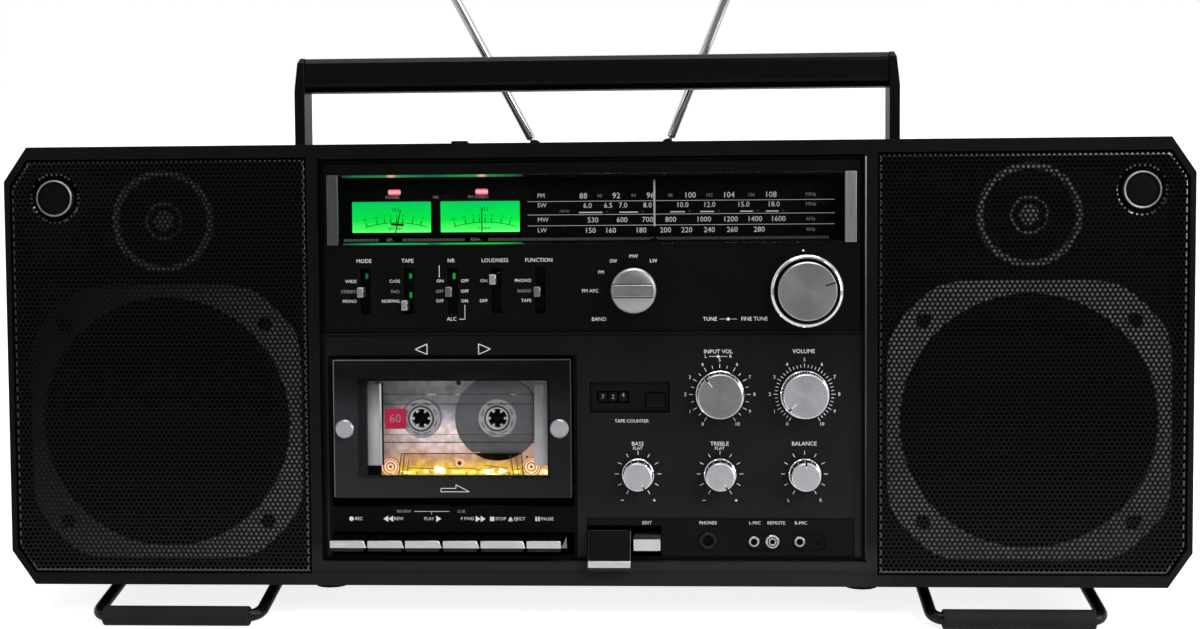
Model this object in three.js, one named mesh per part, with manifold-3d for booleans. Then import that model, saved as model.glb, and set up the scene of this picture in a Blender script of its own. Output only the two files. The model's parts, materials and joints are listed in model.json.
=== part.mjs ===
// Portable stereo radio cassette recorder: two-speaker cabinet, tuner and amplifier panels,
// cassette deck, folding handle, tilt feet and two telescopic antennas.
// Millimetres, +Z up, the front faces -Y, the origin is at the centre of the cabinet's underside.
import * as THREE from 'three';
import { mergeVertices } from 'three/addons/utils/BufferGeometryUtils.js';
import Module from 'manifold-3d';

const wasm = await Module();
wasm.setup();

// Steps round a turned surface, from the smallest pins to the largest knobs.
const pinFaces = 8;
const shaftFaces = 10;
const collarFaces = 12;
const rimFaces = 16;
const knobFaces = 24;
const dialFaces = 28;

// ---------------------------------------------------------------- clearances
const seatGap = 0.3; // between pieces that touch
const slideGap = 0.6; // beside pieces that move
const overrun = 1; // how far a cut runs past the face it opens

// ---------------------------------------------------------------- cassette, the standard compact one
const cassetteWidth = 100.4;
const cassetteHeight = 63.8;
const cassetteThickness = 8.6;
const cassetteCorner = 2;
const cassetteShellWall = 1;
const hubAboveBase = 34;
const hubSpacing = 42.5;
const hubRadius = 9.4;
const hubBore = 5.1;
const hubToothLength = 1;
const hubToothWidth = 1.2;
const hubTeeth = 6;
const hubThickness = 6;
const hubWindow = 6.1;
const packRadius = [11.6, 23.7];
const packInset = 0.8; // tape's edge to the hub's face
const reelRoomEnd = 4; // wall at each end of the room for the tape packs
const reelRoomLow = 8;
const reelRoomHigh = 2.5;
const headWindowWidth = 24;
const headWindowHeight = 10;
const rollerWindowWidth = 13;
const rollerWindowX = 31;

// ---------------------------------------------------------------- cabinet
// Its height comes from the deck and the tuner above it, its width from the panels and the speaker bays.
const centreWidth = 300; // opening for the two control panels
const bayWidth = 166.5; // room for the loudspeakers at each side
const cabinetDepth = 152;
const cabinetWall = 3;
const partitionWidth = 6; // wall between the centre and a speaker bay
const cabinetCornerX = 13; // width of the bevel at each end corner
const cabinetCornerZ = 19; // height of the bevel at each end corner
const frontShellDepth = 56;
const centreLow = 13.5; // sill under the panels
const centreRim = 8; // cabinet above the panels
const centreLedge = 1.5; // step that the panels seat on
const cassetteRise = 44.7; // sill to the cassette's base
const doorSill = 9; // door below the cassette
const doorCrown = 3.9; // door above the cassette
const deckRim = 1.3; // chassis above the door
const deckCrown = 13.2; // panel above the deck
const tunerHeight = 95.6;
const cassetteBase = centreLow + cassetteRise;
const doorLow = cassetteBase - doorSill;
const doorHigh = cassetteBase + cassetteHeight + doorCrown;
const deckHigh = doorHigh + deckRim;
const panelSplitZ = deckHigh + deckCrown;
const centreHigh = panelSplitZ + tunerHeight;
const cabinetHeight = centreHigh + centreRim;
const cabinetWidth = centreWidth + 2 * (partitionWidth + bayWidth + cabinetWall);
const halfWidth = cabinetWidth / 2;
const halfCentre = centreWidth / 2;
const boxInner = halfCentre + partitionWidth; // inner wall of each speaker bay
const boxOuter = halfWidth - cabinetWall;
const speakerX = (boxInner + boxOuter) / 2;
const footRadius = 9;
const footHeight = 5;
const frontFootDepth = 25;
const rearFootInset = 25.5; // from the cabinet's end
const rearFootDepth = cabinetDepth - 15;

// ---------------------------------------------------------------- loudspeakers
const grilleLow = 6.4;
const grilleRim = 7; // cabinet above the grille
const grilleHigh = cabinetHeight - grilleRim;
const grilleCornerInsetX = 3.1;
const grilleCornerInsetZ = 4.6;
const grilleSheet = 1;
const baffleDepth = 12; // front plane to baffle face
const baffleThickness = 5;
const driverFlange = 3;
const tweeterCeiling = 5.7; // tweeter to the grille's upper edge
const tweeterRadius = 28.5;
const tweeterBodyRadius = 20;
const tweeterDepth = 20;
const tweeterZ = grilleHigh - tweeterCeiling - tweeterRadius;
const driverGap = 7.3; // between tweeter and woofer
const wooferFloor = 6.6; // woofer to the grille's lower edge
const wooferSide = 6.25; // woofer to the bay's walls
// the woofer is the largest that the bay takes under the tweeter
const wooferFrame = Math.min(
  bayWidth - 2 * wooferSide,
  tweeterZ - tweeterRadius - driverGap - grilleLow - wooferFloor,
);
const wooferZ = grilleLow + wooferFloor + wooferFrame / 2;
const wooferCorner = 21; // bevel of the frame's corners
const wooferRim = 7.5; // frame round the surround
const wooferRadius = wooferFrame / 2 - wooferRim;
const wooferSeat = 4; // frame's lap over the surround
const wooferDepth = 50;
const wooferConeDepth = 20;
const wooferMagnetLength = 20;
const wooferHoleX = wooferFrame / 2 - 19.5;
const wooferHoleZ = wooferFrame / 2 - 21;
const wooferHoleRadius = 5;
const micX = halfWidth - 28.5;
const micZ = grilleHigh - 21.3;
const micRadius = 10;
const micRing = 1.3;
const micProud = 0.8;
const micPocket = 0.4;
const dimpleRadius = 13.9;
const dimpleDepth = 2;

// ---------------------------------------------------------------- control panels
const panelFace = 3; // front plane to the panels' raised face
const panelBevel = 1.5; // raised face to the panels' border
const panelBorder = 2.2;
const panelThickness = 4;
const panelBack = panelFace + panelThickness;
const panelHalf = halfCentre - seatGap;

// ---------------------------------------------------------------- tuning dial
const windowInset = 5.25; // from the opening's sides
const windowDrop = 9; // from the opening's top
const windowHeight = 38.4;
const windowWidth = centreWidth - 2 * windowInset;
const windowHigh = centreHigh - windowDrop;
const windowLow = windowHigh - windowHeight;
const windowThickness = 2.4;
const windowLap = 1.4; // panel behind the window's edge
const dialBarWidth = 6.2;
const dialBarProud = 0.8;
const dialTrayDepth = 4;
const dialTrayWall = 1.6;
const dialTrayLap = 0.6; // tray above and below the window
const dialTraySide = 2; // tray behind each end bar
const pointerX = 35.2;
const pointerWidth = 1.2;
const pointerThickness = 1;
const pointerFootWidth = 4;
const pointerFootHeight = 1.4;
const pointerFootThickness = 1.8;
const pointerGap = 1.2;
const meterWidth = 43.3;
const meterHeight = 17;
const meterInset = 35.85; // window's left end to the first meter's middle
const meterPitch = 48.7;
const meterX = [0, 1].map((n) => -windowWidth / 2 + meterInset + n * meterPitch);
const meterZ = windowLow + 15.4;
const meterFaceProud = 1;
const needleLength = 17;
const needleWidth = 0.8;
const needleThickness = 0.6;
const needleHubRadius = 2;
const needlePinRadius = 0.7;
const needlePivotDrop = 2.5; // below the meter's face
const needleGap = 1.6;
const needleTilt = [12, 0]; // degrees, clockwise from upright

// ---------------------------------------------------------------- slide switches
const leverInset = 25.5; // opening's left side to the first slot
const leverPitch = 24.2;
const leverSlotRise = 10.3; // above the split between the panels
const leverSlotHeight = 25.3;
const leverSlotWidth = 6;
const leverSlotDepth = 6;
const leverSlotWall = 1.5;
const leverSlotLow = panelSplitZ + leverSlotRise;
const leverWidth = 3.9;
const leverHeight = 6;
const leverProud = 5;
const leverFootHeight = 7.6;
const leverFootThickness = 1.5;
// each switch's setting, above its slot's lower end
const leverSettings = [
  ['mode', 11.6], ['tape', 4.3], ['noise', 11.7], ['loudness', 18.3], ['function', 11.5],
];

// ---------------------------------------------------------------- tuner knobs
const shaftRadius = 3;
const bushingWall = 2.5;
const bushingLength = 9;
const bandX = 23.9;
const bandZ = panelSplitZ + 22.6;
const bandRadius = 12.5;
const bandHeight = 9;
const bandBarHeight = 5;
const bandBarWidth = 7;
const bandBarInset = 0.6;
const tuningX = halfCentre - 32.4;
const tuningZ = (panelSplitZ + windowLow) / 2 - 2.3;
const tuningRadius = 19.9;
const tuningHeight = 9;
const tuningRim = 2.7; // chromed ring round the fine tuning disc
const tuningDish = 4;
const tuningSleeveRadius = 4.5;
const fineRadius = tuningRadius - tuningRim;
const fineProud = 4;
const fineShaftRadius = 2.3;
const indexFrom = 0.55; // shares of the disc's radius
const indexTo = 0.98;
const indexWidth = 1;
const indexDepth = 0.5;
const indexTurn = 28; // degrees
const knobChamfer = 1;

// ---------------------------------------------------------------- amplifier controls
const deckRight = -8; // edge between the deck and the amplifier controls
const ampLeft = deckRight + 5;
const ampRight = halfCentre - 6;
const stripHeight = 24; // recessed strip along the bottom
const stripInset = 2.5; // above the sill
const stripHigh = centreLow + stripHeight;
const stripRecess = 0.8;
const volumeX = halfCentre - 33.2;
const largeKnobPitch = 46.2;
const inputX = volumeX - largeKnobPitch;
const largeKnobZ = panelSplitZ - 34.8;
const largeKnobRadius = 13.4;
const smallKnobPitch = 45.6;
const smallKnobX = [volumeX - 2 * smallKnobPitch, inputX, volumeX];
const smallKnobZ = centreLow + 48.3;
const smallKnobRadius = 9;
const knobHeight = 13;
const knobTaper = 0.8;
const knobSkirt = 3;
const knobCollar = 1.4;
const knobLip = 0.4;
const shaftReach = 8; // length of shaft inside a knob
const potRadius = 8;
const potLength = 9;
const potCollar = 1.5;
const boardDepth = 24; // front plane to the board's front
const boardThickness = 1.6;
const boardInset = 1;
const counterX = deckRight + 29.2;
const counterZ = panelSplitZ - 36.3;
const counterWidth = 43.9;
const counterHeight = 16.9;
const counterRecess = 2.4;
const counterBodyDepth = 14;
const counterWheelRadius = 6;
const counterWheelWidth = 4.6;
const counterWheelPitch = 5.6;
const counterWheelShift = -9.3; // from the counter's middle
const counterWheelGap = 0.4;
const counterWheelTall = 3.4; // half of the wheels' window
const counterAxleRadius = 1.2;
const resetShift = [14.2, -1.6]; // from the counter's middle
const resetWidth = 10.4;
const resetHeight = 7.4;
const resetProud = 1.5;
const resetDepth = 3;
const searchInset = 1; // strip's left end to the search key
const searchWidth = 23.5;
const functionKeyGap = 1.5;
const editWidth = 14.7;
const searchLeft = ampLeft + searchInset;
const searchRight = searchLeft + searchWidth;
const editLeft = searchRight + functionKeyGap;
const editRight = editLeft + editWidth;
const functionRodDepth = 16;
const functionRodZ = centreLow + 10.5;
const functionSlotTop = 4.5; // strip's upper edge to the keys' opening
const functionBracket = 2;
const functionBracketHalf = 4;
const phonesX = editRight + 26.2;
const phonesZ = centreLow + 11.2;
const phonesRadius = 4.7;
const phonesBore = 3.2;
const phonesProud = 1.6;
const smallJackX = [25.3, 35.4, 50.3].map((across) => phonesX + across);
const smallJackRadius = [2.9, 3.8, 2.9];
const smallJackBore = [1.8, 1.3, 1.8];
const smallJackZ = centreLow + 10.5;
const jackPocketHeight = 10.3;
const jackPocketDepth = 1.2;
const jackPocketSide = 4.5;
const jackPocketTail = 14.5;

// ---------------------------------------------------------------- cassette deck
const deckLeft = 4 - halfCentre;
const chassisPlateDepth = 24;
const chassisPlate = 2.5;
const chassisSide = 1.4;
const chassisFloor = 1;
const symbolBarThickness = 5;
const motorRadius = 17;
const motorLength = 25;
const motorInset = 24;
const flywheelRadius = 22;
const flywheelThickness = 8;
const flywheelShift = [-20, 6]; // from the cassette's base
const doorLeft = deckLeft + 3.6;
const doorRight = deckRight - 2.6;
const doorProud = 2; // front plane to the door's outer face
const doorThickness = 4;
const doorCorner = 1.5;
const doorPivotDepth = 7;
const doorPivotZ = doorLow + 4.8;
const doorPinRadius = 1.6;
const doorArmWidth = 3;
const doorArmHalf = 2.5;
const doorWindowLeft = doorLeft + 13.6;
const doorWindowRight = doorRight - 12;
const doorWindowLow = doorLow + 10.8;
const doorWindowHigh = doorHigh - 10.7;
const doorWindowThickness = 1.6;
const doorWindowLap = 1.5;
const thumbNutRadius = 5;
const thumbNutInset = 6.6;
const thumbNutHeight = 3;
const cassetteX = (doorLeft + doorRight) / 2 + 2.8;
const cassetteDepth = 5.2; // front plane to the cassette's front
const hubZ = cassetteBase + hubAboveBase;
const hubX = [cassetteX - hubSpacing / 2, cassetteX + hubSpacing / 2];
const railWidth = 3.4;
const railBehind = 2; // rail behind the cassette
const railTop = doorWindowHigh + 3;
const ledgeReach = 7;
const ledgeThickness = 2;
const spindleRadius = 3;
const spindleWing = 4.3;
const spindleWings = 3;
const spindleInset = 1.4; // cassette's front to the spindle's tip
const spindleTip = 2;
const spindleFlangeRadius = 7;
const spindleFlange = 1.9;
const headBridgeWidth = 84;
const headBridgePlate = 2;
const headBridgeDrop = 1; // below the cassette and below the door
const headHalf = 7;
const headSetBack = 0.8;
const pinchRollerRadius = 4.2;

// ---------------------------------------------------------------- keys
const keyInset = 2.1; // chassis's left edge to the first key
const keyTail = 8.65; // last key to the chassis's right edge
const keyGap = 2.35;
const keyNames = ['record', 'rewind', 'play', 'forward', 'stop', 'pause'];
const stopKeyExtra = 4.5; // the stop and eject key is wider
const keyRow = deckRight - deckLeft - keyInset - keyTail - stopKeyExtra;
const keyWidth = (keyRow - (keyNames.length - 1) * keyGap) / keyNames.length;
const keyLipLow = centreLow + 6.8;
const keyLipHeight = 4.2;
const keyLipDepth = -7; // in front of the front plane
const keyTop = keyLipLow + 8;
const keySlopeDepth = 4.5;
const keyPivotDepth = 19;
const keyPivotZ = keyLipLow + 2.7;
const keyRodRadius = 1.5;
const keyHubRadius = 3.6;
const symbolStripLow = keyTop + 0.9;
const symbolStripHigh = doorLow - 5.6;

// ---------------------------------------------------------------- top controls
const powerX = -76;
const powerDepth = frontShellDepth - 15;
const powerWidth = 9.4;
const powerProud = 3.6;
const powerLength = 12;

// ---------------------------------------------------------------- handle
const handleArmX = halfCentre + 23.5; // centre of each arm
const handleArmWidth = 6;
const handleArmDepth = 20;
const handleRise = 54.5; // above the cabinet's top
const handleTop = cabinetHeight + handleRise;
const handleCornerX = 3.4;
const handleCornerZ = 19;
const handleCrown = 1.5; // small bevel at the arm's top corner
const handleSideCorner = 3;
const handlePivotDepth = 71;
const handlePivotZ = cabinetHeight - 8;
const handlePinRadius = 3;
const handlePinLength = 2;
const gripHeight = 20;
const gripDepth = 18;
const gripCorner = 5;
const handleRailHeight = 6;
const handleRailDepth = 8;
const handleFold = 64; // degrees
const handlePocketWall = 2.5;
const pocketTop = 1; // the wells' walls end this far inside the outer faces

// ---------------------------------------------------------------- tilt feet
const bailX = speakerX - 6.75;
const bailHalf = 46.2;
const bailRadius = 3.25;
const bailPivotDepth = frontShellDepth + 10;
const bailPivotZ = -1.5;
const bailForward = 66; // pivot to bar, forward and down
const bailDrop = 16;
const bailReach = Math.hypot(bailForward, bailDrop);
const bailCorner = 9;
const bailPinRadius = 2;
const bailPinLength = 3;
const sleeveRadius = 5.5;
const sleeveLength = 82;
const bailWellDepth = 9.5;
const bailWellWall = 2.5;
const bailWellFront = frontShellDepth + seatGap + 1;
const bailEarWidth = 3.5;
const bailEarHalf = 5;
const bailEarDrop = 4.6;

// ---------------------------------------------------------------- antennas
const antennaX = 42;
const antennaDepth = cabinetDepth - 9;
const antennaLean = [28, 22]; // degrees outward, left and right
const antennaTurretRadius = 7;
const antennaTurretHeight = 2.6;
const antennaPivotHeight = 6.6; // pivot above the cabinet's top
const antennaStemRadius = 3;
const antennaStemLength = 9;
const antennaEar = 1.8;
const antennaEarRadius = 4;
const antennaTang = 3;
const antennaTangTop = 6.5;
const antennaPinRadius = 1.2;
const antennaTubeRadius = 3;
const antennaTubeLength = 190;
const antennaTubeBore = 2.3;
const antennaTubeFloor = 4; // blind end of the bore above the tang
const antennaMastRadius = 2;
const antennaMastShort = 25; // mast shorter than its tube
const antennaTipRadius = 3.2;
const antennaTipLength = 7;

// ---------------------------------------------------------------- battery compartment and sockets
const batteryWidth = 250;
const batteryLow = 12;
const batteryHigh = 84;
const batteryDepth = 39;
const batteryLip = 3;
const batteryCoverThickness = 2.7;
const gripGroove = 1.4; // three grooves to push the cover by
const gripGrooveLength = 44;
const gripGrooveDepth = 0.8;
const gripGroovePitch = 3;
const gripGrooveDrop = 10;
const socketPanelX = speakerX - 4.25;
const socketPanelZ = panelSplitZ - 0.4;
const socketPanelWidth = 110;
const socketPanelHeight = 36;
const socketPanelDepth = 12;
const socketRadius = 4.2;
const socketBore = 1.7;
const socketLength = 8;
const socketColumns = 3;
const socketRows = 2;
const mainsInletX = 70.5 - halfWidth;
const mainsInletZ = 40;
const mainsInletWidth = 24;
const mainsInletHeight = 11;
const mainsInletDepth = 20;
const mainsInletWall = 2;
const mainsPinRadius = 1.2;
const mainsPinLength = 11;
const mainsPinSpacing = 10;

// ================================================================ helpers
const baffleBack = baffleDepth + baffleThickness;
const sides = [['left', -1], ['right', 1]];
const rad = THREE.MathUtils.degToRad;
const yAt = (depth) => depth - cabinetDepth / 2; // y of a plane this far behind the front

// A closed geometry as a solid, with its faces turned outward.
function solid(geometry) {
  const bare = geometry.clone();
  bare.deleteAttribute('normal');
  bare.deleteAttribute('uv');
  const merged = mergeVertices(bare, 1e-4);
  const at = merged.attributes.position.array;
  const triangles = [];
  let volume = 0;
  for (let i = 0; i < merged.index.count; i += 3) {
    const [a, b, c] = [0, 1, 2].map((k) => merged.index.array[i + k]);
    if (a !== b && b !== c && c !== a) {
      triangles.push(a, b, c);
      const [p, q, r] = [a, b, c].map((k) => new THREE.Vector3().fromArray(at, 3 * k));
      volume += p.dot(q.cross(r));
    }
  }
  if (volume < 0) triangles.reverse();
  return new wasm.Manifold(new wasm.Mesh({
    numProp: 3,
    vertProperties: new Float32Array(at),
    triVerts: new Uint32Array(triangles),
  }));
}

// A solid as a mesh geometry, flat shaded.
function geometryOf(body) {
  const mesh = body.asOriginal().getMesh();
  const geometry = new THREE.BufferGeometry();
  geometry.setAttribute('position', new THREE.BufferAttribute(mesh.vertProperties, 3));
  geometry.setIndex(new THREE.BufferAttribute(mesh.triVerts, 1));
  return geometry;
}

const join = (...bodies) => bodies.reduce((all, body) => all.add(body));
const cut = (body, ...tools) => tools.reduce((left, tool) => left.subtract(tool), body);

// A box from its limits: across, back from the front plane, up.
function block(x0, x1, d0, d1, z0, z1) {
  const geometry = new THREE.BoxGeometry(x1 - x0, d1 - d0, z1 - z0);
  geometry.translate((x0 + x1) / 2, (d0 + d1) / 2, (z0 + z1) / 2);
  return solid(geometry);
}

function outline(points) {
  return new THREE.Shape(points.map(([u, v]) => new THREE.Vector2(u, v)));
}

// An outline seen from the front (across, up), pushed back from d0 to d1.
function slab(shape, d0, d1, curveSegments = 2) {
  const geometry = new THREE.ExtrudeGeometry(shape, { depth: d1 - d0, bevelEnabled: false, curveSegments });
  geometry.rotateX(Math.PI / 2);
  geometry.translate(0, d1, 0);
  return solid(geometry);
}

// An outline seen from the side (back, up), pushed across from x0 to x1.
function profile(shape, x0, x1, curveSegments = 2) {
  const geometry = new THREE.ExtrudeGeometry(shape, { depth: x1 - x0, bevelEnabled: false, curveSegments });
  geometry.rotateX(Math.PI / 2);
  geometry.rotateZ(Math.PI / 2);
  geometry.translate(x0, 0, 0);
  return solid(geometry);
}

// Cylinders along each axis, from a to b.
function rodY(radius, a, b, x, z, faces = 16) {
  const geometry = new THREE.CylinderGeometry(radius, radius, b - a, faces);
  geometry.translate(x, (a + b) / 2, z);
  return solid(geometry);
}

function rodX(radius, a, b, y, z, faces = 12) {
  const geometry = new THREE.CylinderGeometry(radius, radius, b - a, faces);
  geometry.rotateZ(Math.PI / 2);
  geometry.translate((a + b) / 2, y, z);
  return solid(geometry);
}

function rodZ(radius, a, b, x, y, faces = 12) {
  const geometry = new THREE.CylinderGeometry(radius, radius, b - a, faces);
  geometry.rotateX(Math.PI / 2);
  geometry.translate(x, y, (a + b) / 2);
  return solid(geometry);
}

// A profile of (radius, depth) turned about an axis that runs back.
function turned(points, faces = 24) {
  return solid(new THREE.LatheGeometry(points.map(([r, d]) => new THREE.Vector2(r, d)), faces));
}

// The same, stood up: a profile of (radius, height) turned about a vertical axis.
function turnedUp(points, faces = 20) {
  const geometry = new THREE.LatheGeometry(points.map(([r, h]) => new THREE.Vector2(r, h)), faces);
  geometry.rotateX(Math.PI / 2);
  return solid(geometry);
}

function roundedRectangle(x0, x1, z0, z1, radius) {
  const shape = new THREE.Shape();
  shape.moveTo(x0 + radius, z0);
  shape.lineTo(x1 - radius, z0);
  shape.absarc(x1 - radius, z0 + radius, radius, -Math.PI / 2, 0);
  shape.lineTo(x1, z1 - radius);
  shape.absarc(x1 - radius, z1 - radius, radius, 0, Math.PI / 2);
  shape.lineTo(x0 + radius, z1);
  shape.absarc(x0 + radius, z1 - radius, radius, Math.PI / 2, Math.PI);
  shape.lineTo(x0, z0 + radius);
  shape.absarc(x0 + radius, z0 + radius, radius, Math.PI, Math.PI * 1.5);
  return shape;
}

// A rectangle with bevelled corners.
function bevelled(x0, x1, z0, z1, across, up) {
  return outline([
    [x0 + across, z0], [x1 - across, z0], [x1, z0 + up], [x1, z1 - up],
    [x1 - across, z1], [x0 + across, z1], [x0, z1 - up], [x0, z0 + up],
  ]);
}

// The part of an outline's slab on one side: bevelled at the outer end and square at the inner one.
function sideBay(side, inner, outer, z0, z1, across, up, d0, d1) {
  const far = [[outer - across, z0], [outer, z0 + up], [outer, z1 - up], [outer - across, z1]];
  const points = [[inner, z0], ...far, [inner, z1]];
  const shown = side > 0 ? points : points.map(([x, z]) => [-x, z]).reverse();
  return slab(outline(shown), d0, d1);
}

const mirrorX = (body, side) => (side > 0 ? body : body.mirror([1, 0, 0]));

// ================================================================ materials
function paint(colour, roughness, metalness = 0, extra = {}) {
  return new THREE.MeshStandardMaterial({ color: colour, roughness, metalness, ...extra });
}
const blackPlastic = paint(0x17181a, 0.45);
const panelBlack = paint(0x1c1d1f, 0.4);
const blackSteel = paint(0x1b1c1e, 0.5, 0.4);
const silver = paint(0xc3c6c9, 0.3, 0.9);
const chrome = paint(0xd8dadd, 0.12, 1);
const zincPlate = paint(0x8f9296, 0.45, 0.8);
const driverGrey = paint(0x6e7073, 0.6);
const boardGreen = paint(0x2f4a34, 0.7);
const dialBlack = paint(0x0e0f10, 0.3);
const smokedClear = paint(0x2c2e30, 0.1, 0, { transparent: true, opacity: 0.35 });
const shellClear = paint(0x8a8d92, 0.15, 0, { transparent: true, opacity: 0.5 });
const pointerCream = paint(0xe8e4d8, 0.4);
const hubWhite = paint(0xe6e4df, 0.5);
const rubberBlack = paint(0x202124, 0.8);

const assembly = new THREE.Group();
assembly.name = 'radio_cassette_recorder';

// Adds one piece. The origin of its own solid lies at (x, depth, z).
function place(name, body, material, x = 0, depth = 0, z = 0) {
  const mesh = new THREE.Mesh(geometryOf(body), material);
  mesh.name = name;
  mesh.position.set(x, yAt(depth), z);
  assembly.add(mesh);
  return mesh;
}

// ================================================================ cabinet shells
function cabinetOutline(inset) {
  const x = halfWidth - inset;
  const across = cabinetCornerX - inset * 0.3;
  const up = cabinetCornerZ - inset * 0.3;
  return bevelled(-x, x, inset, cabinetHeight - inset, across, up);
}

function frontCabinet() {
  let shell = slab(cabinetOutline(0), 0, frontShellDepth);
  shell = cut(shell, block(-halfCentre, halfCentre, -overrun, panelBack + seatGap, centreLow, centreHigh));
  shell = cut(shell, block(
    -halfCentre + centreLedge, halfCentre - centreLedge, 0, frontShellDepth + overrun,
    centreLow + centreLedge, centreHigh - centreLedge,
  ));
  const across = cabinetCornerX - grilleCornerInsetX;
  const up = cabinetCornerZ - grilleCornerInsetZ;
  for (const [, side] of sides) {
    const bay = sideBay(side, boxInner, boxOuter, grilleLow, grilleHigh, across, up, -overrun, baffleDepth);
    const hollow = sideBay(
      side, boxInner, boxOuter, cabinetWall, cabinetHeight - cabinetWall,
      cabinetCornerX, cabinetCornerZ, baffleBack, frontShellDepth + overrun,
    );
    const wooferHole = rodY(
      wooferRadius + slideGap, 0, baffleBack + overrun, side * speakerX, wooferZ, knobFaces,
    );
    const tweeterHole = rodY(
      tweeterBodyRadius + slideGap, 0, baffleBack + overrun, side * speakerX, tweeterZ, rimFaces,
    );
    shell = cut(shell, bay, hollow, wooferHole, tweeterHole);
    const boss = rodY(micRadius, -micProud, baffleDepth + overrun, side * micX, micZ, knobFaces);
    const pocket = rodY(
      micRadius - micRing, -micProud - overrun, micPocket, side * micX, micZ, knobFaces,
    );
    shell = join(shell, cut(boss, pocket));
    shell = join(shell, rodZ(footRadius, -footHeight, cabinetWall, side * halfCentre, frontFootDepth));
  }
  const half = powerWidth / 2 + seatGap;
  return cut(shell, block(
    powerX - half, powerX + half, powerDepth - half, powerDepth + half,
    centreHigh - cabinetWall, cabinetHeight + overrun,
  ));
}

// A well that opens through a cabinet wall: the solid that is added and the hollow that is cut.
function batteryBox() {
  const half = batteryWidth / 2;
  const back = cabinetDepth;
  const seat = back - batteryCoverThickness - seatGap - seatGap;
  const wall = cabinetWall;
  const outer = block(
    -half - wall, half + wall, back - batteryDepth - wall, back - pocketTop,
    batteryLow - wall, batteryHigh + wall,
  );
  const mouth = block(-half, half, seat, back + overrun, batteryLow, batteryHigh);
  const inner = block(
    -half + batteryLip, half - batteryLip, back - batteryDepth, back,
    batteryLow + batteryLip, batteryHigh - batteryLip,
  );
  return { outer, hollows: [mouth, inner] };
}

function handlePocket(side) {
  const half = handleArmWidth / 2 + slideGap;
  const front = handlePivotDepth - handleArmDepth / 2 - slideGap;
  // the arm's rear edge meets the cabinet's top this far behind the pivot when folded
  const sweep = (cabinetHeight - handlePivotZ + (handleArmDepth / 2) * Math.sin(rad(handleFold)));
  const back = handlePivotDepth + sweep * Math.tan(rad(handleFold))
    + (handleArmDepth / 2) * Math.cos(rad(handleFold)) + slideGap * 3;
  const low = handlePivotZ - handleArmDepth / 2 - slideGap;
  const wall = handlePocketWall;
  const x = side * handleArmX;
  const outer = block(
    x - half - wall, x + half + wall, front - wall, back + wall, low - wall, cabinetHeight - pocketTop,
  );
  const slot = block(x - half, x + half, front, back, low, cabinetHeight + overrun);
  const pinHole = rodX(
    handlePinRadius + seatGap, x - half - wall - overrun, x + half + wall + overrun,
    handlePivotDepth, handlePivotZ, shaftFaces,
  );
  return { outer, hollows: [slot, pinHole] };
}

function bailWell(side) {
  const half = bailHalf + bailRadius + slideGap;
  const back = bailPivotDepth + bailReach + sleeveRadius + slideGap;
  const x = side * bailX;
  const wall = bailWellWall;
  const outer = block(
    x - half - wall, x + half + wall, bailWellFront - overrun, back + wall,
    pocketTop, bailWellDepth + wall,
  );
  const well = block(x - half, x + half, bailWellFront, back, -overrun, bailWellDepth);
  const ears = [-1, 1].map((end) => {
    const inner = x + end * half;
    const outerX = x + end * (half + bailEarWidth);
    return block(
      Math.min(inner, outerX), Math.max(inner, outerX), bailPivotDepth - bailEarHalf,
      bailPivotDepth + bailEarHalf, -bailEarDrop, bailWellDepth,
    );
  });
  const pinHole = rodX(
    bailPinRadius + seatGap, x - half - bailEarWidth - overrun, x + half + bailEarWidth + overrun,
    bailPivotDepth, bailPivotZ, shaftFaces,
  );
  return { outer: join(outer, ...ears), hollows: [well, pinHole] };
}

function socketPanel() {
  const back = cabinetDepth;
  const x = socketPanelX;
  const z = socketPanelZ;
  const half = socketPanelWidth / 2;
  const tall = socketPanelHeight / 2;
  const wall = cabinetWall;
  const floor = back - socketPanelDepth;
  const outer = block(
    x - half - wall, x + half + wall, floor - wall, back - pocketTop, z - tall - wall, z + tall + wall,
  );
  const recess = block(x - half, x + half, floor, back + overrun, z - tall, z + tall);
  const sockets = [];
  for (let column = 0; column < socketColumns; column += 1) {
    for (let row = 0; row < socketRows; row += 1) {
      const across = ((column + 0.5) / socketColumns - 0.5) * socketPanelWidth;
      const up = ((row + 0.5) / socketRows - 0.5) * socketPanelHeight;
      const at = [x + across, z + up];
      const barrel = rodY(socketRadius, floor - overrun, floor + socketLength, ...at, shaftFaces);
      const bore = rodY(socketBore, floor + overrun, floor + socketLength + overrun, ...at, pinFaces);
      sockets.push(cut(barrel, bore));
    }
  }
  return { outer, hollows: [recess], fittings: sockets };
}

function mainsInlet() {
  const back = cabinetDepth;
  const half = mainsInletWidth / 2;
  const tall = mainsInletHeight / 2;
  const x = mainsInletX;
  const z = mainsInletZ;
  const wall = mainsInletWall;
  const floor = back - mainsInletDepth;
  const outer = block(
    x - half - wall, x + half + wall, floor - wall, back - pocketTop, z - tall - wall, z + tall + wall,
  );
  const mouth = roundedRectangle(x - half, x + half, z - tall, z + tall, tall - seatGap);
  const pins = [-1, 1].map((end) => rodY(
    mainsPinRadius, floor - overrun, floor + mainsPinLength, x + (end * mainsPinSpacing) / 2, z, pinFaces,
  ));
  return { outer, hollows: [slab(mouth, floor, back + overrun)], fittings: pins };
}

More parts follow.
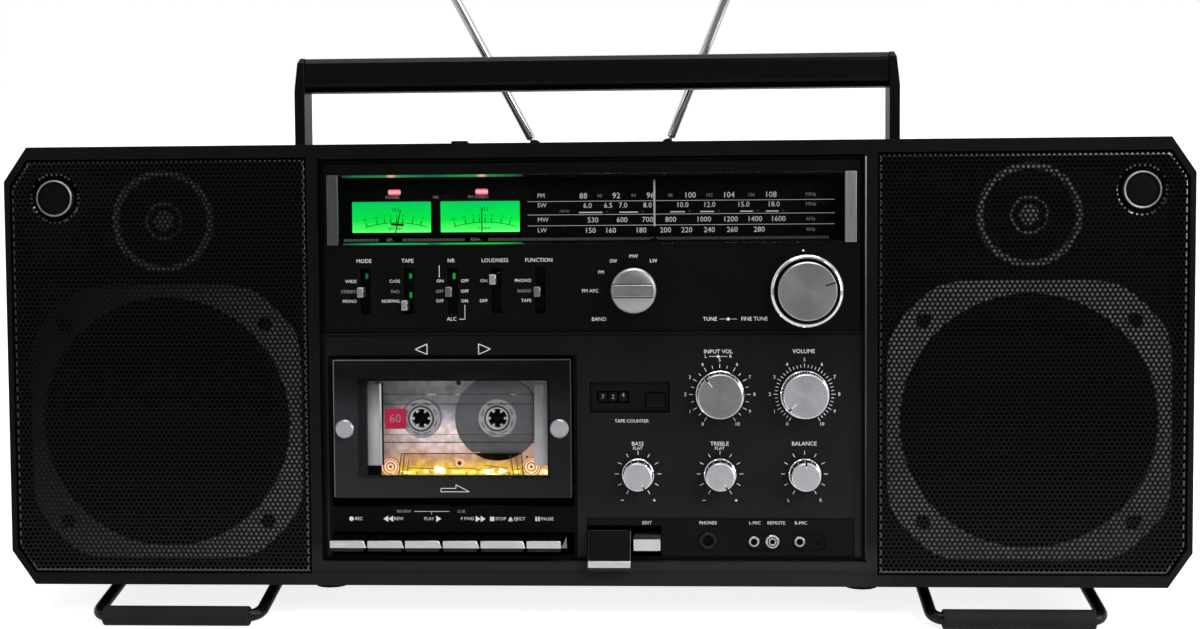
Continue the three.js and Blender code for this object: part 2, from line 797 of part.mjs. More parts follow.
function rearCabinet() {
  const front = frontShellDepth + seatGap;
  let shell = cut(
    slab(cabinetOutline(0), front, cabinetDepth),
    slab(cabinetOutline(cabinetWall), front - overrun, cabinetDepth - cabinetWall),
  );
  const wells = [batteryBox(), socketPanel(), mainsInlet()];
  for (const [, side] of sides) {
    wells.push(handlePocket(side), bailWell(side));
    const stemTop = cabinetHeight - pocketTop;
    shell = join(
      shell,
      rodZ(footRadius, -footHeight, cabinetWall, side * (halfWidth - rearFootInset), rearFootDepth),
      rodZ(antennaTurretRadius, cabinetHeight - antennaStemLength, stemTop, side * antennaX, antennaDepth),
    );
  }
  for (const well of wells) shell = join(shell, well.outer);
  for (const well of wells) shell = cut(shell, ...well.hollows);
  for (const well of wells) shell = join(shell, ...(well.fittings ?? []));
  for (const [, side] of sides) {
    shell = cut(shell, rodZ(
      antennaStemRadius + seatGap, cabinetHeight - antennaStemLength - overrun, cabinetHeight + overrun,
      side * antennaX, antennaDepth,
    ));
  }
  return shell;
}

place('front_cabinet', frontCabinet(), blackPlastic);
place('rear_cabinet', rearCabinet(), blackPlastic);

// ================================================================ battery cover
function batteryCover() {
  const half = batteryWidth / 2 - seatGap;
  const high = batteryHigh - batteryLow - 2 * seatGap;
  const plate = block(-half, half, -batteryCoverThickness, 0, 0, high);
  const grooves = [-1, 0, 1].map((n) => {
    const z = high - gripGrooveDrop + n * gripGroovePitch;
    return block(
      -gripGrooveLength / 2, gripGrooveLength / 2, -gripGrooveDepth, overrun,
      z - gripGroove / 2, z + gripGroove / 2,
    );
  });
  return cut(plate, ...grooves);
}
place('battery_cover', batteryCover(), blackPlastic, 0, cabinetDepth - seatGap, batteryLow + seatGap);

// ================================================================ loudspeakers
function woofer() {
  const front = baffleDepth - seatGap - driverFlange;
  const back = baffleDepth - seatGap;
  const half = wooferFrame / 2;
  const square = bevelled(-half, half, -half, half, wooferCorner, wooferCorner);
  const mouth = rodY(wooferRadius - wooferSeat, front - overrun, back + overrun, 0, 0, knobFaces);
  let frame = cut(slab(square, front, back), mouth);
  for (const [x, z] of [[-1, -1], [1, -1], [1, 1], [-1, 1]]) {
    frame = cut(frame, rodY(
      wooferHoleRadius, front - overrun, back + overrun, x * wooferHoleX, z * wooferHoleZ, shaftFaces,
    ));
  }
  const r = wooferRadius;
  const cone = back + wooferConeDepth;
  const magnet = back + wooferDepth - wooferMagnetLength;
  // dust cap, cone, rolled surround, then the basket and the magnet behind
  const driver = turned([
    [0, cone - 6], [r * 0.15, cone - 5], [r * 0.26, cone],
    [r * 0.86, back - 0.5], [r * 0.92, front + 0.6], [r * 0.97, back - 1], [r, back - 0.8],
    [r, back + 3], [r * 0.4, cone + 4], [r * 0.4, magnet],
    [r * 0.55, magnet], [r * 0.55, back + wooferDepth], [0, back + wooferDepth],
  ], knobFaces);
  return join(frame, driver);
}

function tweeter() {
  const front = baffleDepth - seatGap - driverFlange;
  const back = baffleDepth - seatGap;
  const r = tweeterRadius;
  // dome, roll and rim, then the body behind the baffle
  return turned([
    [0, front - 0.5], [r * 0.15, front], [r * 0.28, front + 2.2], [r * 0.5, front + 2.2],
    [r * 0.62, front + 0.8], [r * 0.8, front + 2.2], [r * 0.84, front], [r, front], [r, back],
    [tweeterBodyRadius, back], [tweeterBodyRadius, back + tweeterDepth], [0, back + tweeterDepth],
  ], rimFaces);
}

function grille(side) {
  const inner = boxInner + seatGap;
  const outer = boxOuter - seatGap;
  const z0 = grilleLow + seatGap;
  const z1 = grilleHigh - seatGap;
  const across = cabinetCornerX - grilleCornerInsetX;
  const up = cabinetCornerZ - grilleCornerInsetZ;
  const t = grilleSheet;
  const pan = sideBay(side, inner, outer, z0, z1, across, up, 0, baffleDepth - seatGap);
  const hollow = sideBay(side, inner + t, outer - t, z0 + t, z1 - t, across, up, t, baffleDepth + overrun);
  const x = side * micX;
  const collar = rodY(dimpleRadius, 0, dimpleDepth + t, x, micZ, knobFaces);
  const dish = new THREE.CylinderGeometry(micRadius + t, dimpleRadius, dimpleDepth, knobFaces);
  dish.translate(x, dimpleDepth / 2, micZ);
  const hole = rodY(micRadius + seatGap, -overrun, dimpleDepth + t + overrun, x, micZ, knobFaces);
  return cut(join(cut(pan, hollow), collar), solid(dish), hole);
}

for (const [name, side] of sides) {
  place(`grille_${name}`, grille(side), blackSteel);
  place(`woofer_${name}`, woofer(), driverGrey, side * speakerX, 0, wooferZ);
  place(`tweeter_${name}`, tweeter(), driverGrey, side * speakerX, 0, tweeterZ);
}

// ================================================================ control panels
// A panel plate with a raised face inside a bevelled border.
function panelPlate(z0, z1) {
  const b = panelBorder;
  return join(
    block(-panelHalf, panelHalf, panelFace + panelBevel, panelBack, z0, z1),
    block(-panelHalf + b, panelHalf - b, panelFace, panelBack, z0 + b, z1 - b),
  );
}

const leverX = (n) => leverInset - halfCentre + n * leverPitch;

function tunerPanel() {
  let panel = panelPlate(panelSplitZ + seatGap / 2, centreHigh - seatGap);
  const opening = windowWidth / 2 - dialBarWidth;
  panel = cut(panel, block(
    -opening, opening, 0, panelBack + overrun, windowLow + windowLap, windowHigh - windowLap,
  ));
  const halfSlot = leverSlotWidth / 2;
  const wall = leverSlotWall;
  const floor = panelFace + leverSlotDepth;
  const slotTop = leverSlotLow + leverSlotHeight;
  leverSettings.forEach((_, n) => {
    const x = leverX(n);
    panel = join(panel, block(
      x - halfSlot - wall, x + halfSlot + wall, panelFace + panelBevel, floor + wall,
      leverSlotLow - wall, slotTop + wall,
    ));
    panel = cut(panel, block(x - halfSlot, x + halfSlot, 0, floor, leverSlotLow, slotTop));
  });
  const bushings = [
    [bandX, bandZ, shaftRadius + seatGap],
    [tuningX, tuningZ, tuningSleeveRadius + seatGap],
  ];
  for (const [x, z, bore] of bushings) {
    const end = panelBack + bushingLength;
    panel = join(panel, rodY(bore + bushingWall, panelBack - overrun, end, x, z, rimFaces));
    panel = cut(panel, rodY(bore, 0, end + overrun, x, z, rimFaces));
  }
  return panel;
}

const functionBar = [searchLeft - functionBracket / 2, editRight + functionBracket / 2];
const knobPlaces = [[inputX, largeKnobZ], [volumeX, largeKnobZ], ...smallKnobX.map((x) => [x, smallKnobZ])];
const stripFace = panelFace + stripRecess;

function amplifierPanel() {
  const back = panelBack + overrun;
  const sill = centreLow + stripInset;
  let panel = panelPlate(centreLow + seatGap, panelSplitZ - seatGap / 2);
  panel = cut(panel, block(
    deckLeft, deckRight, 0, back, centreLow + centreLedge + seatGap, deckHigh + seatGap,
  ));
  panel = cut(panel, block(ampLeft, ampRight, 0, stripFace, sill, stripHigh));
  panel = cut(panel, block(
    counterX - counterWidth / 2, counterX + counterWidth / 2, 0, back,
    counterZ - counterHeight / 2, counterZ + counterHeight / 2,
  ));
  for (const [x, z] of knobPlaces) {
    panel = cut(panel, rodY(shaftRadius + slideGap, 0, back, x, z, collarFaces));
  }
  panel = cut(panel, rodY(phonesRadius + seatGap, 0, back, phonesX, phonesZ, rimFaces));
  const pockets = [
    [smallJackX[0] - jackPocketSide, smallJackX[1] + jackPocketSide],
    [smallJackX[2] - jackPocketSide, smallJackX[2] + jackPocketTail],
  ];
  const tall = jackPocketHeight / 2;
  for (const [x0, x1] of pockets) {
    const shape = roundedRectangle(x0, x1, smallJackZ - tall, smallJackZ + tall, tall - seatGap);
    panel = cut(panel, slab(shape, 0, stripFace + jackPocketDepth, 3));
  }
  smallJackX.forEach((x, i) => {
    panel = cut(panel, rodY(smallJackRadius[i] + seatGap, 0, back, x, smallJackZ, shaftFaces));
  });
  panel = cut(panel, block(
    searchLeft - slideGap, editRight + slideGap, 0, back, sill, stripHigh - functionSlotTop,
  ));
  // brackets and rod that the two function keys turn on
  for (const x of functionBar) {
    panel = join(panel, block(
      x - functionBracket / 2, x + functionBracket / 2,
      panelBack - overrun, functionRodDepth + functionBracket,
      functionRodZ - functionBracketHalf, functionRodZ + functionBracketHalf,
    ));
  }
  return join(panel, rodX(keyRodRadius, ...functionBar, functionRodDepth, functionRodZ, shaftFaces));
}
place('tuner_panel', tunerPanel(), panelBlack);
place('amplifier_panel', amplifierPanel(), panelBlack);

// ================================================================ tuning dial
const windowBack = panelFace - seatGap;
const trayFront = panelBack + seatGap;
const trayFloor = trayFront + dialTrayDepth;
const trayHalf = windowWidth / 2 - dialBarWidth + dialTraySide;
const trayLow = windowLow - dialTrayLap;
const trayHigh = windowHigh + dialTrayLap;
const needlePivotZ = meterZ - meterHeight / 2 - needlePivotDrop;

function dialWindow() {
  const half = windowWidth / 2;
  const sheet = block(-half, half, windowBack - windowThickness, windowBack, windowLow, windowHigh);
  const bars = [-1, 1].map((end) => {
    const edge = end * half;
    const inner = end * (half - dialBarWidth);
    return block(
      Math.min(edge, inner), Math.max(edge, inner), windowBack - windowThickness - dialBarProud, windowBack,
      windowLow, windowHigh,
    );
  });
  return join(sheet, ...bars);
}

function dialPlate() {
  const w = dialTrayWall;
  let tray = cut(
    block(-trayHalf, trayHalf, trayFront, trayFloor + w, trayLow, trayHigh),
    block(-trayHalf + w, trayHalf - w, trayFront - overrun, trayFloor, trayLow + w, trayHigh - w),
  );
  for (const x of meterX) {
    const half = meterWidth / 2;
    const tall = meterHeight / 2;
    const face = block(
      x - half, x + half, trayFloor - meterFaceProud, trayFloor + overrun, meterZ - tall, meterZ + tall,
    );
    const pin = rodY(needlePinRadius, trayFront + seatGap, trayFloor + overrun, x, needlePivotZ, pinFaces);
    tray = join(tray, face, pin);
  }
  return tray;
}

function dialPointer() {
  const half = pointerWidth / 2;
  const low = trayLow + dialTrayWall + seatGap;
  const high = trayHigh - dialTrayWall - seatGap;
  const foot = pointerFootWidth / 2;
  return join(
    block(-half, half, 0, pointerThickness, low, high),
    block(-foot, foot, 0, pointerFootThickness, low, low + pointerFootHeight),
  );
}

function meterNeedle() {
  const hub = rodY(needleHubRadius, -needleThickness, needleThickness, 0, 0, rimFaces);
  const half = needleWidth / 2;
  const arm = block(-half, half, -needleThickness / 2, needleThickness / 2, 0, needleLength);
  const bore = rodY(needlePinRadius + seatGap, -overrun, overrun, 0, 0, shaftFaces);
  return cut(join(hub, arm), bore);
}

place('dial_window', dialWindow(), smokedClear);
place('dial_plate', dialPlate(), dialBlack);
place('dial_pointer', dialPointer(), pointerCream, pointerX, trayFront + pointerGap, 0);
['left', 'right'].forEach((name, i) => {
  const needle = place(
    `meter_needle_${name}`, meterNeedle(), pointerCream, meterX[i], trayFront + needleGap, needlePivotZ,
  );
  needle.rotation.y = rad(needleTilt[i]);
});

// ================================================================ slide switches
function lever() {
  const half = leverWidth / 2;
  const tall = leverHeight / 2;
  const foot = leverSlotWidth / 2 - seatGap;
  const floor = leverSlotDepth - seatGap;
  return join(
    block(-half, half, -leverProud, floor, -tall, tall),
    block(-foot, foot, floor - leverFootThickness, floor, -leverFootHeight / 2, leverFootHeight / 2),
  );
}
leverSettings.forEach(([name, setting], n) => {
  place(`${name}_lever`, lever(), silver, leverX(n), panelFace, leverSlotLow + setting);
});

// ================================================================ tuner knobs
function bandKnob() {
  const r = bandRadius;
  const face = -bandHeight;
  const body = turned([
    [0, face], [r - knobChamfer, face], [r, face + knobChamfer], [r, -seatGap], [0, -seatGap],
  ], knobFaces);
  const half = bandBarWidth / 2;
  const bar = block(-r, r, face - bandBarHeight, face + overrun, -half, half)
    .intersect(rodY(r - bandBarInset, face - bandBarHeight - overrun, 0, 0, 0, knobFaces));
  const shaft = rodY(shaftRadius, -overrun, panelThickness + bushingLength - overrun, 0, 0, shaftFaces);
  return join(body, bar, shaft);
}

function tuningKnob() {
  const r = tuningRadius;
  const face = -tuningHeight;
  const ring = turned([
    [0, face], [r - knobChamfer, face], [r, face + knobChamfer], [r, -seatGap], [0, -seatGap],
  ], dialFaces);
  const dish = rodY(fineRadius + seatGap, face - overrun, face + tuningDish, 0, 0, dialFaces);
  const end = panelThickness + bushingLength;
  const sleeve = rodY(tuningSleeveRadius, -2 * overrun, end - overrun, 0, 0, collarFaces);
  const bore = rodY(fineShaftRadius + seatGap, face - overrun, end, 0, 0, shaftFaces);
  return cut(join(cut(ring, dish), sleeve), bore);
}

function fineTuningKnob() {
  const r = fineRadius;
  const back = -tuningHeight + tuningDish - seatGap;
  const front = -tuningHeight - fineProud;
  const disc = turned([
    [0, front], [r - knobChamfer, front], [r, front + knobChamfer], [r, back], [0, back],
  ], dialFaces);
  const half = indexWidth / 2;
  const index = block(r * indexFrom, r * indexTo, front - overrun, front + indexDepth, -half, half);
  const reach = panelThickness + bushingLength + 3;
  const shaft = rodY(fineShaftRadius, back - overrun, reach, 0, 0, shaftFaces);
  return cut(join(disc, shaft), index.rotate([0, -indexTurn, 0]));
}
place('band_knob', bandKnob(), silver, bandX, panelFace, bandZ);
place('tuning_knob', tuningKnob(), chrome, tuningX, panelFace, tuningZ);
place('fine_tuning_knob', fineTuningKnob(), silver, tuningX, panelFace, tuningZ);

// ================================================================ amplifier board and knobs
function amplifierBoard() {
  const front = boardDepth;
  const back = boardDepth + boardThickness;
  const main = editRight + 8;
  const low = centreLow + centreLedge + seatGap + boardInset;
  let board = join(
    block(main, panelHalf - centreLedge - boardInset, front, back, low, panelSplitZ - cabinetWall),
    block(
      deckRight + 4, main + overrun, front, back,
      stripHigh + cabinetWall, counterZ - counterHeight,
    ),
  );
  for (const [x, z] of knobPlaces) {
    const potFront = boardDepth - potLength;
    board = join(
      board,
      rodY(potRadius, potFront, front + overrun, x, z, collarFaces),
      rodY(shaftRadius + potCollar, panelBack + seatGap, potFront + overrun, x, z, pinFaces),
      rodY(shaftRadius, panelFace - shaftReach - overrun, front, x, z, shaftFaces),
    );
  }
  const phones = cut(
    rodY(phonesRadius, stripFace - phonesProud, front + overrun, phonesX, phonesZ, rimFaces),
    rodY(phonesBore, stripFace - phonesProud - overrun, front - overrun, phonesX, phonesZ, collarFaces),
  );
  board = join(board, phones);
  smallJackX.forEach((x, i) => {
    board = join(board, cut(
      rodY(smallJackRadius[i], stripFace, front + overrun, x, smallJackZ, shaftFaces),
      rodY(smallJackBore[i], stripFace - overrun, front - 4, x, smallJackZ, pinFaces),
    ));
  });
  return board;
}

// A knob with a bored back, a straight skirt and a tapered body.
function knob(radius) {
  const top = -knobHeight;
  const r = radius;
  const neck = r - knobCollar;
  const body = turned([
    [0, top], [neck - knobTaper, top], [neck, -knobSkirt], [r, -knobSkirt + knobLip],
    [r, -seatGap], [0, -seatGap],
  ], knobFaces);
  const bore = rodY(shaftRadius + seatGap, -shaftReach - overrun - seatGap, overrun, 0, 0, shaftFaces);
  return cut(body, bore);
}
place('amplifier_board', amplifierBoard(), boardGreen);
place('input_level_knob', knob(largeKnobRadius), silver, inputX, panelFace, largeKnobZ);
place('volume_knob', knob(largeKnobRadius), silver, volumeX, panelFace, largeKnobZ);
['bass', 'treble', 'balance'].forEach((name, i) => {
  place(`${name}_knob`, knob(smallKnobRadius), silver, smallKnobX[i], panelFace, smallKnobZ);
});

// ================================================================ tape counter
const counterFace = panelFace + counterRecess;
const [resetX, resetZ] = [counterX + resetShift[0], counterZ + resetShift[1]];

function tapeCounter() {
  const half = counterWidth / 2 - seatGap;
  const tall = counterHeight / 2 - seatGap;
  const front = counterFace;
  const back = front + counterBodyDepth;
  const middle = counterX + counterWheelShift;
  const axle = front + counterWheelRadius + slideGap;
  const span = counterWheelPitch * 1.5 + counterWheelGap;
  let body = block(counterX - half, counterX + half, front, back, counterZ - tall, counterZ + tall);
  body = cut(body, block(
    middle - span, middle + span, front - overrun, axle + counterAxleRadius + slideGap,
    counterZ - counterWheelTall, counterZ + counterWheelTall,
  ));
  body = join(body, rodX(
    counterAxleRadius, middle - span - overrun, middle + span + overrun, axle, counterZ, pinFaces,
  ));
  for (const n of [-1, 0, 1]) {
    const x = middle + n * counterWheelPitch;
    const half = counterWheelWidth / 2;
    const wheel = rodX(counterWheelRadius, x - half, x + half, axle, counterZ, rimFaces);
    const shown = counterWheelTall + counterWheelGap;
    body = join(body, wheel.intersect(block(
      x - half, x + half, front - overrun, back - overrun, counterZ - shown, counterZ + shown,
    )));
  }
  const w = resetWidth / 2 + seatGap;
  const h = resetHeight / 2 + seatGap;
  return cut(body, block(
    resetX - w, resetX + w, front - overrun, front + resetDepth + resetProud + seatGap,
    resetZ - h, resetZ + h,
  ));
}

function resetButton() {
  const w = resetWidth / 2;
  const h = resetHeight / 2;
  return block(-w, w, -resetProud, resetDepth, -h, h);
}
place('tape_counter', tapeCounter(), dialBlack);
place('counter_reset_button', resetButton(), blackPlastic, resetX, counterFace, resetZ);

// ================================================================ deck chassis
const chassisLow = centreLow + centreLedge + seatGap;
const chassisBack = chassisPlateDepth + chassisPlate;

function deckChassis() {
  const left = deckLeft + seatGap;
  const right = deckRight - seatGap;
  const front = panelFace;
  const low = chassisLow;
  const high = deckHigh;
  let chassis = block(left, right, chassisPlateDepth, chassisBack, low, high);
  chassis = join(
    chassis,
    block(left, left + chassisSide, front, chassisBack, low, high),
    block(right - chassisSide, right, front, chassisBack, low, high),
    block(left, right, front + chassisFloor, chassisBack, low, low + chassisFloor),
    block(left + 1, right - 1, front, front + symbolBarThickness, symbolStripLow, symbolStripHigh),
    rodX(keyRodRadius, left + 1, right - 1, keyPivotDepth, keyPivotZ, pinFaces),
  );
  chassis = cut(chassis, rodX(
    doorPinRadius + seatGap, left - overrun, right + overrun, doorPivotDepth, doorPivotZ, collarFaces,
  ));
  for (const x of hubX) {
    chassis = cut(chassis, rodY(
      spindleRadius + seatGap, chassisPlateDepth - overrun, chassisBack + overrun, x, hubZ, shaftFaces,
    ));
  }
  // capstan, motor and flywheel housings on the rear of the plate
  const motor = rodY(
    motorRadius, chassisBack - overrun, chassisBack + motorLength,
    right - motorInset, low + motorInset, rimFaces,
  );
  const flywheel = rodY(
    flywheelRadius, chassisBack - overrun, chassisBack + flywheelThickness,
    cassetteX + flywheelShift[0], cassetteBase + flywheelShift[1], rimFaces,
  );
  return join(chassis, motor, flywheel);
}

// A spindle with three wings that enter the reel's hub.
function reelSpindle() {
  const tip = cassetteDepth + spindleInset - chassisPlateDepth;
  const shoulder = tip + spindleTip;
  let body = join(
    rodY(spindleRadius, shoulder - overrun / 2, chassisPlate + 4, 0, 0, shaftFaces),
    turned([[0, tip], [spindleRadius * 0.55, tip], [spindleRadius, shoulder], [0, shoulder]], shaftFaces),
    rodY(spindleFlangeRadius, -seatGap - spindleFlange, -seatGap, 0, 0, rimFaces),
  );
  for (let i = 0; i < spindleWings; i += 1) {
    const wing = block(
      -hubToothWidth / 2, hubToothWidth / 2, shoulder, -seatGap - overrun, 0, spindleWing,
    );
    body = join(body, wing.rotate([0, 30 + (i * 360) / spindleWings, 0]));
  }
  return body;
}
place('deck_chassis', deckChassis(), blackSteel);
place('reel_spindle_left', reelSpindle(), blackPlastic, hubX[0], chassisPlateDepth, hubZ);
place('reel_spindle_right', reelSpindle(), blackPlastic, hubX[1], chassisPlateDepth, hubZ);

// ================================================================ cassette
function cassetteShell() {
  const half = cassetteWidth / 2;
  const t = cassetteThickness;
  const wall = cassetteShellWall;
  const low = -hubAboveBase;
  const high = cassetteHeight - hubAboveBase;
  let shell = slab(roundedRectangle(-half, half, low, high, cassetteCorner), 0, t);
  // room inside for the two tape packs, open at the head windows
  shell = cut(shell, block(
    -half + reelRoomEnd, half - reelRoomEnd, wall, t - wall, low + reelRoomLow, high - reelRoomHigh,
  ));
  for (const end of [-1, 1]) {
    shell = cut(shell, rodY(hubWindow, -overrun, t + overrun, (end * hubSpacing) / 2, 0, rimFaces));
    shell = cut(shell, block(
      end * rollerWindowX - rollerWindowWidth / 2, end * rollerWindowX + rollerWindowWidth / 2,
      wall, t + overrun, low - overrun, low + headWindowHeight,
    ));
  }
  return cut(shell, block(
    -headWindowWidth / 2, headWindowWidth / 2, wall, t + overrun, low - overrun, low + headWindowHeight,
  ));
}

// A toothed hub with the tape wound on it.
function tapeReel(pack) {
  const h = hubThickness / 2;
  let reel = join(
    rodY(pack, -h + packInset, h - packInset, 0, 0, knobFaces),
    rodY(hubRadius, -h, h, 0, 0, rimFaces),
  );
  reel = cut(reel, rodY(hubBore, -h - overrun, h + overrun, 0, 0, collarFaces));
  for (let i = 0; i < hubTeeth; i += 1) {
    const tooth = block(
      -hubToothWidth / 2, hubToothWidth / 2, -h, h, hubBore - hubToothLength, hubBore + overrun,
    );
    reel = join(reel, tooth.rotate([0, (i * 360) / hubTeeth, 0]));
  }
  return reel;
}
const cassetteMiddle = cassetteDepth + cassetteThickness / 2;
place('cassette_shell', cassetteShell(), shellClear, cassetteX, cassetteDepth, hubZ);
place('tape_reel_left', tapeReel(packRadius[0]), hubWhite, hubX[0], cassetteMiddle, hubZ);
place('tape_reel_right', tapeReel(packRadius[1]), hubWhite, hubX[1], cassetteMiddle, hubZ);

// ================================================================ cassette door
function cassetteDoor() {
  const front = -doorProud;
  const back = front + doorThickness;
  const middle = (doorWindowLow + doorWindowHigh) / 2;
  const lap = doorWindowLap;
  const armBack = doorPivotDepth + doorArmHalf;
  let door = slab(roundedRectangle(doorLeft, doorRight, doorLow, doorHigh, doorCorner), front, back);
  door = cut(door, block(
    doorWindowLeft, doorWindowRight, front - overrun, front + doorWindowThickness + seatGap,
    doorWindowLow, doorWindowHigh,
  ));
  door = cut(door, block(
    doorWindowLeft + lap, doorWindowRight - lap, front, back + overrun,
    doorWindowLow + lap, doorWindowHigh - lap,
  ));
  for (const x of [doorLeft + thumbNutInset, doorRight - thumbNutInset]) {
    door = join(door, rodY(thumbNutRadius, front - thumbNutHeight, front + overrun, x, middle, rimFaces));
  }
  // rails that hold the cassette by its ends, each with a ledge under it and a web down to the hinge
  const railBack = cassetteDepth + cassetteThickness + railBehind;
  const ledgeTop = cassetteBase - seatGap;
  const ledgeLow = ledgeTop - ledgeThickness;
  for (const end of [-1, 1]) {
    const inner = cassetteX + end * (cassetteWidth / 2 + seatGap);
    const [railLeft, railRight] = [inner, inner + end * railWidth].sort((a, b) => a - b);
    const [ledgeLeft, ledgeRight] = [inner - end * ledgeReach, inner + end * railWidth].sort((a, b) => a - b);
    door = join(
      door,
      block(railLeft, railRight, back - overrun, railBack, ledgeLow, railTop),
      block(ledgeLeft, ledgeRight, cassetteDepth, railBack, ledgeLow, ledgeTop),
      block(railLeft, railRight, back - overrun, armBack, doorPivotZ - doorArmHalf, ledgeLow + overrun),
    );
  }
  // hinge arms and pins at the lower corners
  const pins = [
    [doorLeft, -1, deckLeft + seatGap + chassisSide / 2],
    [doorRight, 1, deckRight - seatGap - chassisSide / 2],
  ];
  for (const [edge, end, reach] of pins) {
    const inner = edge - end * doorArmWidth;
    const [left, right] = [edge, inner].sort((a, b) => a - b);
    const [pinLeft, pinRight] = [inner, reach].sort((a, b) => a - b);
    door = join(
      door,
      block(left, right, back - overrun, armBack, doorPivotZ - doorArmHalf, doorPivotZ + doorArmHalf),
      rodX(doorPinRadius, pinLeft, pinRight, doorPivotDepth, doorPivotZ, collarFaces),
    );
  }
  return door;
}

function doorWindow() {
  return block(
    doorWindowLeft + seatGap, doorWindowRight - seatGap, -doorProud, -doorProud + doorWindowThickness,
    doorWindowLow + seatGap, doorWindowHigh - seatGap,
  );
}
place('cassette_door', cassetteDoor(), panelBlack);
place('door_window', doorWindow(), smokedClear);

// ================================================================ tape heads
function headBridge() {
  const back = chassisPlateDepth - seatGap;
  const plateFront = back - headBridgePlate;
  const top = cassetteBase - headBridgeDrop;
  const low = doorLow - headBridgeDrop;
  const half = headBridgeWidth / 2;
  const headFront = cassetteDepth + cassetteShellWall + overrun;
  let bridge = join(
    block(cassetteX - half, cassetteX + half, plateFront, back, low, top),
    block(
      cassetteX - headHalf, cassetteX + headHalf, headFront + headSetBack, plateFront + overrun,
      low + headBridgeDrop, top,
    ),
  );
  for (const end of [-1, 1]) {
    const x = cassetteX + end * rollerWindowX;
    const z = top - pinchRollerRadius;
    bridge = join(bridge, rodY(pinchRollerRadius, headFront, plateFront + overrun, x, z, collarFaces));
  }
  return bridge;
}
place('head_bridge', headBridge(), zincPlate);

// ================================================================ piano keys
// One key seen from the side, its pivot at the origin.
function keyShape() {
  const lipHigh = keyLipLow + keyLipHeight;
  const at = (d, z) => [d - keyPivotDepth, z - keyPivotZ];
  return outline([
    at(keyLipDepth, keyLipLow), at(0, keyLipLow + 1), at(keyPivotDepth, keyLipLow),
    at(keyPivotDepth, keyTop - 1), at(keySlopeDepth, keyTop), at(keyLipDepth + 1, lipHigh + 0.6),
    at(keyLipDepth, lipHigh),
  ]);
}

// A lever of this outline with a bored hub that turns on its rod.
function hungKey(width, shape) {
  const half = width / 2;
  const hub = rodX(keyHubRadius, -half, half, 0, 0, shaftFaces);
  const bore = rodX(keyRodRadius + seatGap, -half - overrun, half + overrun, 0, 0, pinFaces);
  return cut(join(profile(shape, -half, half), hub), bore);
}

let keyLeft = deckLeft + keyInset;
for (const name of keyNames) {
  const width = name === 'stop' ? keyWidth + stopKeyExtra : keyWidth;
  place(`${name}_key`, hungKey(width, keyShape()), silver, keyLeft + width / 2, keyPivotDepth, keyPivotZ);
  keyLeft += width + keyGap;
}

// ================================================================ function keys
// Side views as (depth, height above the sill).
const functionRod = functionRodDepth;
const searchShape = [
  [-8, -3.5], [-4, -2.9], [-0.5, 6.5], [functionRod, 7.1], [functionRod, 13.9], [3, 17.5],
  [-0.5, 17.5], [-8, -0.1],
];
const editShape = [[-3, 6.7], [functionRod, 7.5], [functionRod, 13.5], [2, 14.1], [-3, 13]];

function functionKey(name, left, right, points, material) {
  const shape = outline(points.map(([d, up]) => [d - functionRodDepth, centreLow + up - functionRodZ]));
  place(name, hungKey(right - left, shape), material, (left + right) / 2, functionRodDepth, functionRodZ);
}
functionKey('search_key', searchLeft, searchRight, searchShape, blackPlastic);
functionKey('edit_key', editLeft, editRight, editShape, silver);

// ================================================================ power button
function powerButton() {
  const half = powerWidth / 2;
  return block(-half, half, -half, half, -powerLength, powerProud);
}
place('power_button', powerButton(), blackPlastic, powerX, powerDepth, cabinetHeight);

// ================================================================ handle
const railZ = handleTop - gripHeight / 2 - handlePivotZ;

// Arms and cross rail, the fold axis at the origin.
function handleFrame() {
  const top = handleTop - handlePivotZ;
  const round = handleArmDepth / 2;
  const inner = handleArmX - handleArmWidth / 2;
  const outer = handleArmX + handleArmWidth / 2;
  const sideShape = new THREE.Shape();
  sideShape.moveTo(-round, 0);
  sideShape.absarc(0, 0, round, Math.PI, 2 * Math.PI);
  sideShape.lineTo(round, top - handleSideCorner);
  sideShape.lineTo(round - handleSideCorner, top);
  sideShape.lineTo(-round + handleSideCorner, top);
  sideShape.lineTo(-round, top - handleSideCorner);
  const low = -round - overrun;
  const frontShape = outline([
    [inner, low], [outer, low], [outer, top - handleCornerZ],
    [outer - handleCornerX + handleCrown, top - handleCrown * 2], [outer - handleCornerX, top + overrun],
    [inner, top + overrun],
  ]);
  const arm = profile(sideShape, inner, outer, 5).intersect(slab(frontShape, low, round + overrun));
  const pin = rodX(handlePinRadius, inner - handlePinLength, outer + handlePinLength, 0, 0, shaftFaces);
  const rail = block(
    -inner - overrun, inner + overrun, -handleRailDepth / 2, handleRailDepth / 2,
    railZ - handleRailHeight / 2, railZ + handleRailHeight / 2,
  );
  const half = join(arm, pin);
  return join(half, mirrorX(half, -1), rail);
}

function handleGrip() {
  const half = handleArmX - handleArmWidth / 2 - seatGap;
  const depth = gripDepth / 2;
  const tall = gripHeight / 2;
  const section = roundedRectangle(-depth, depth, railZ - tall, railZ + tall, gripCorner);
  const bore = block(
    -half - overrun, half + overrun, -handleRailDepth / 2 - seatGap, handleRailDepth / 2 + seatGap,
    railZ - handleRailHeight / 2 - seatGap, railZ + handleRailHeight / 2 + seatGap,
  );
  return cut(profile(section, -half, half), bore);
}
place('handle_frame', handleFrame(), blackPlastic, 0, handlePivotDepth, handlePivotZ);
place('handle_grip', handleGrip(), rubberBlack, 0, handlePivotDepth, handlePivotZ);

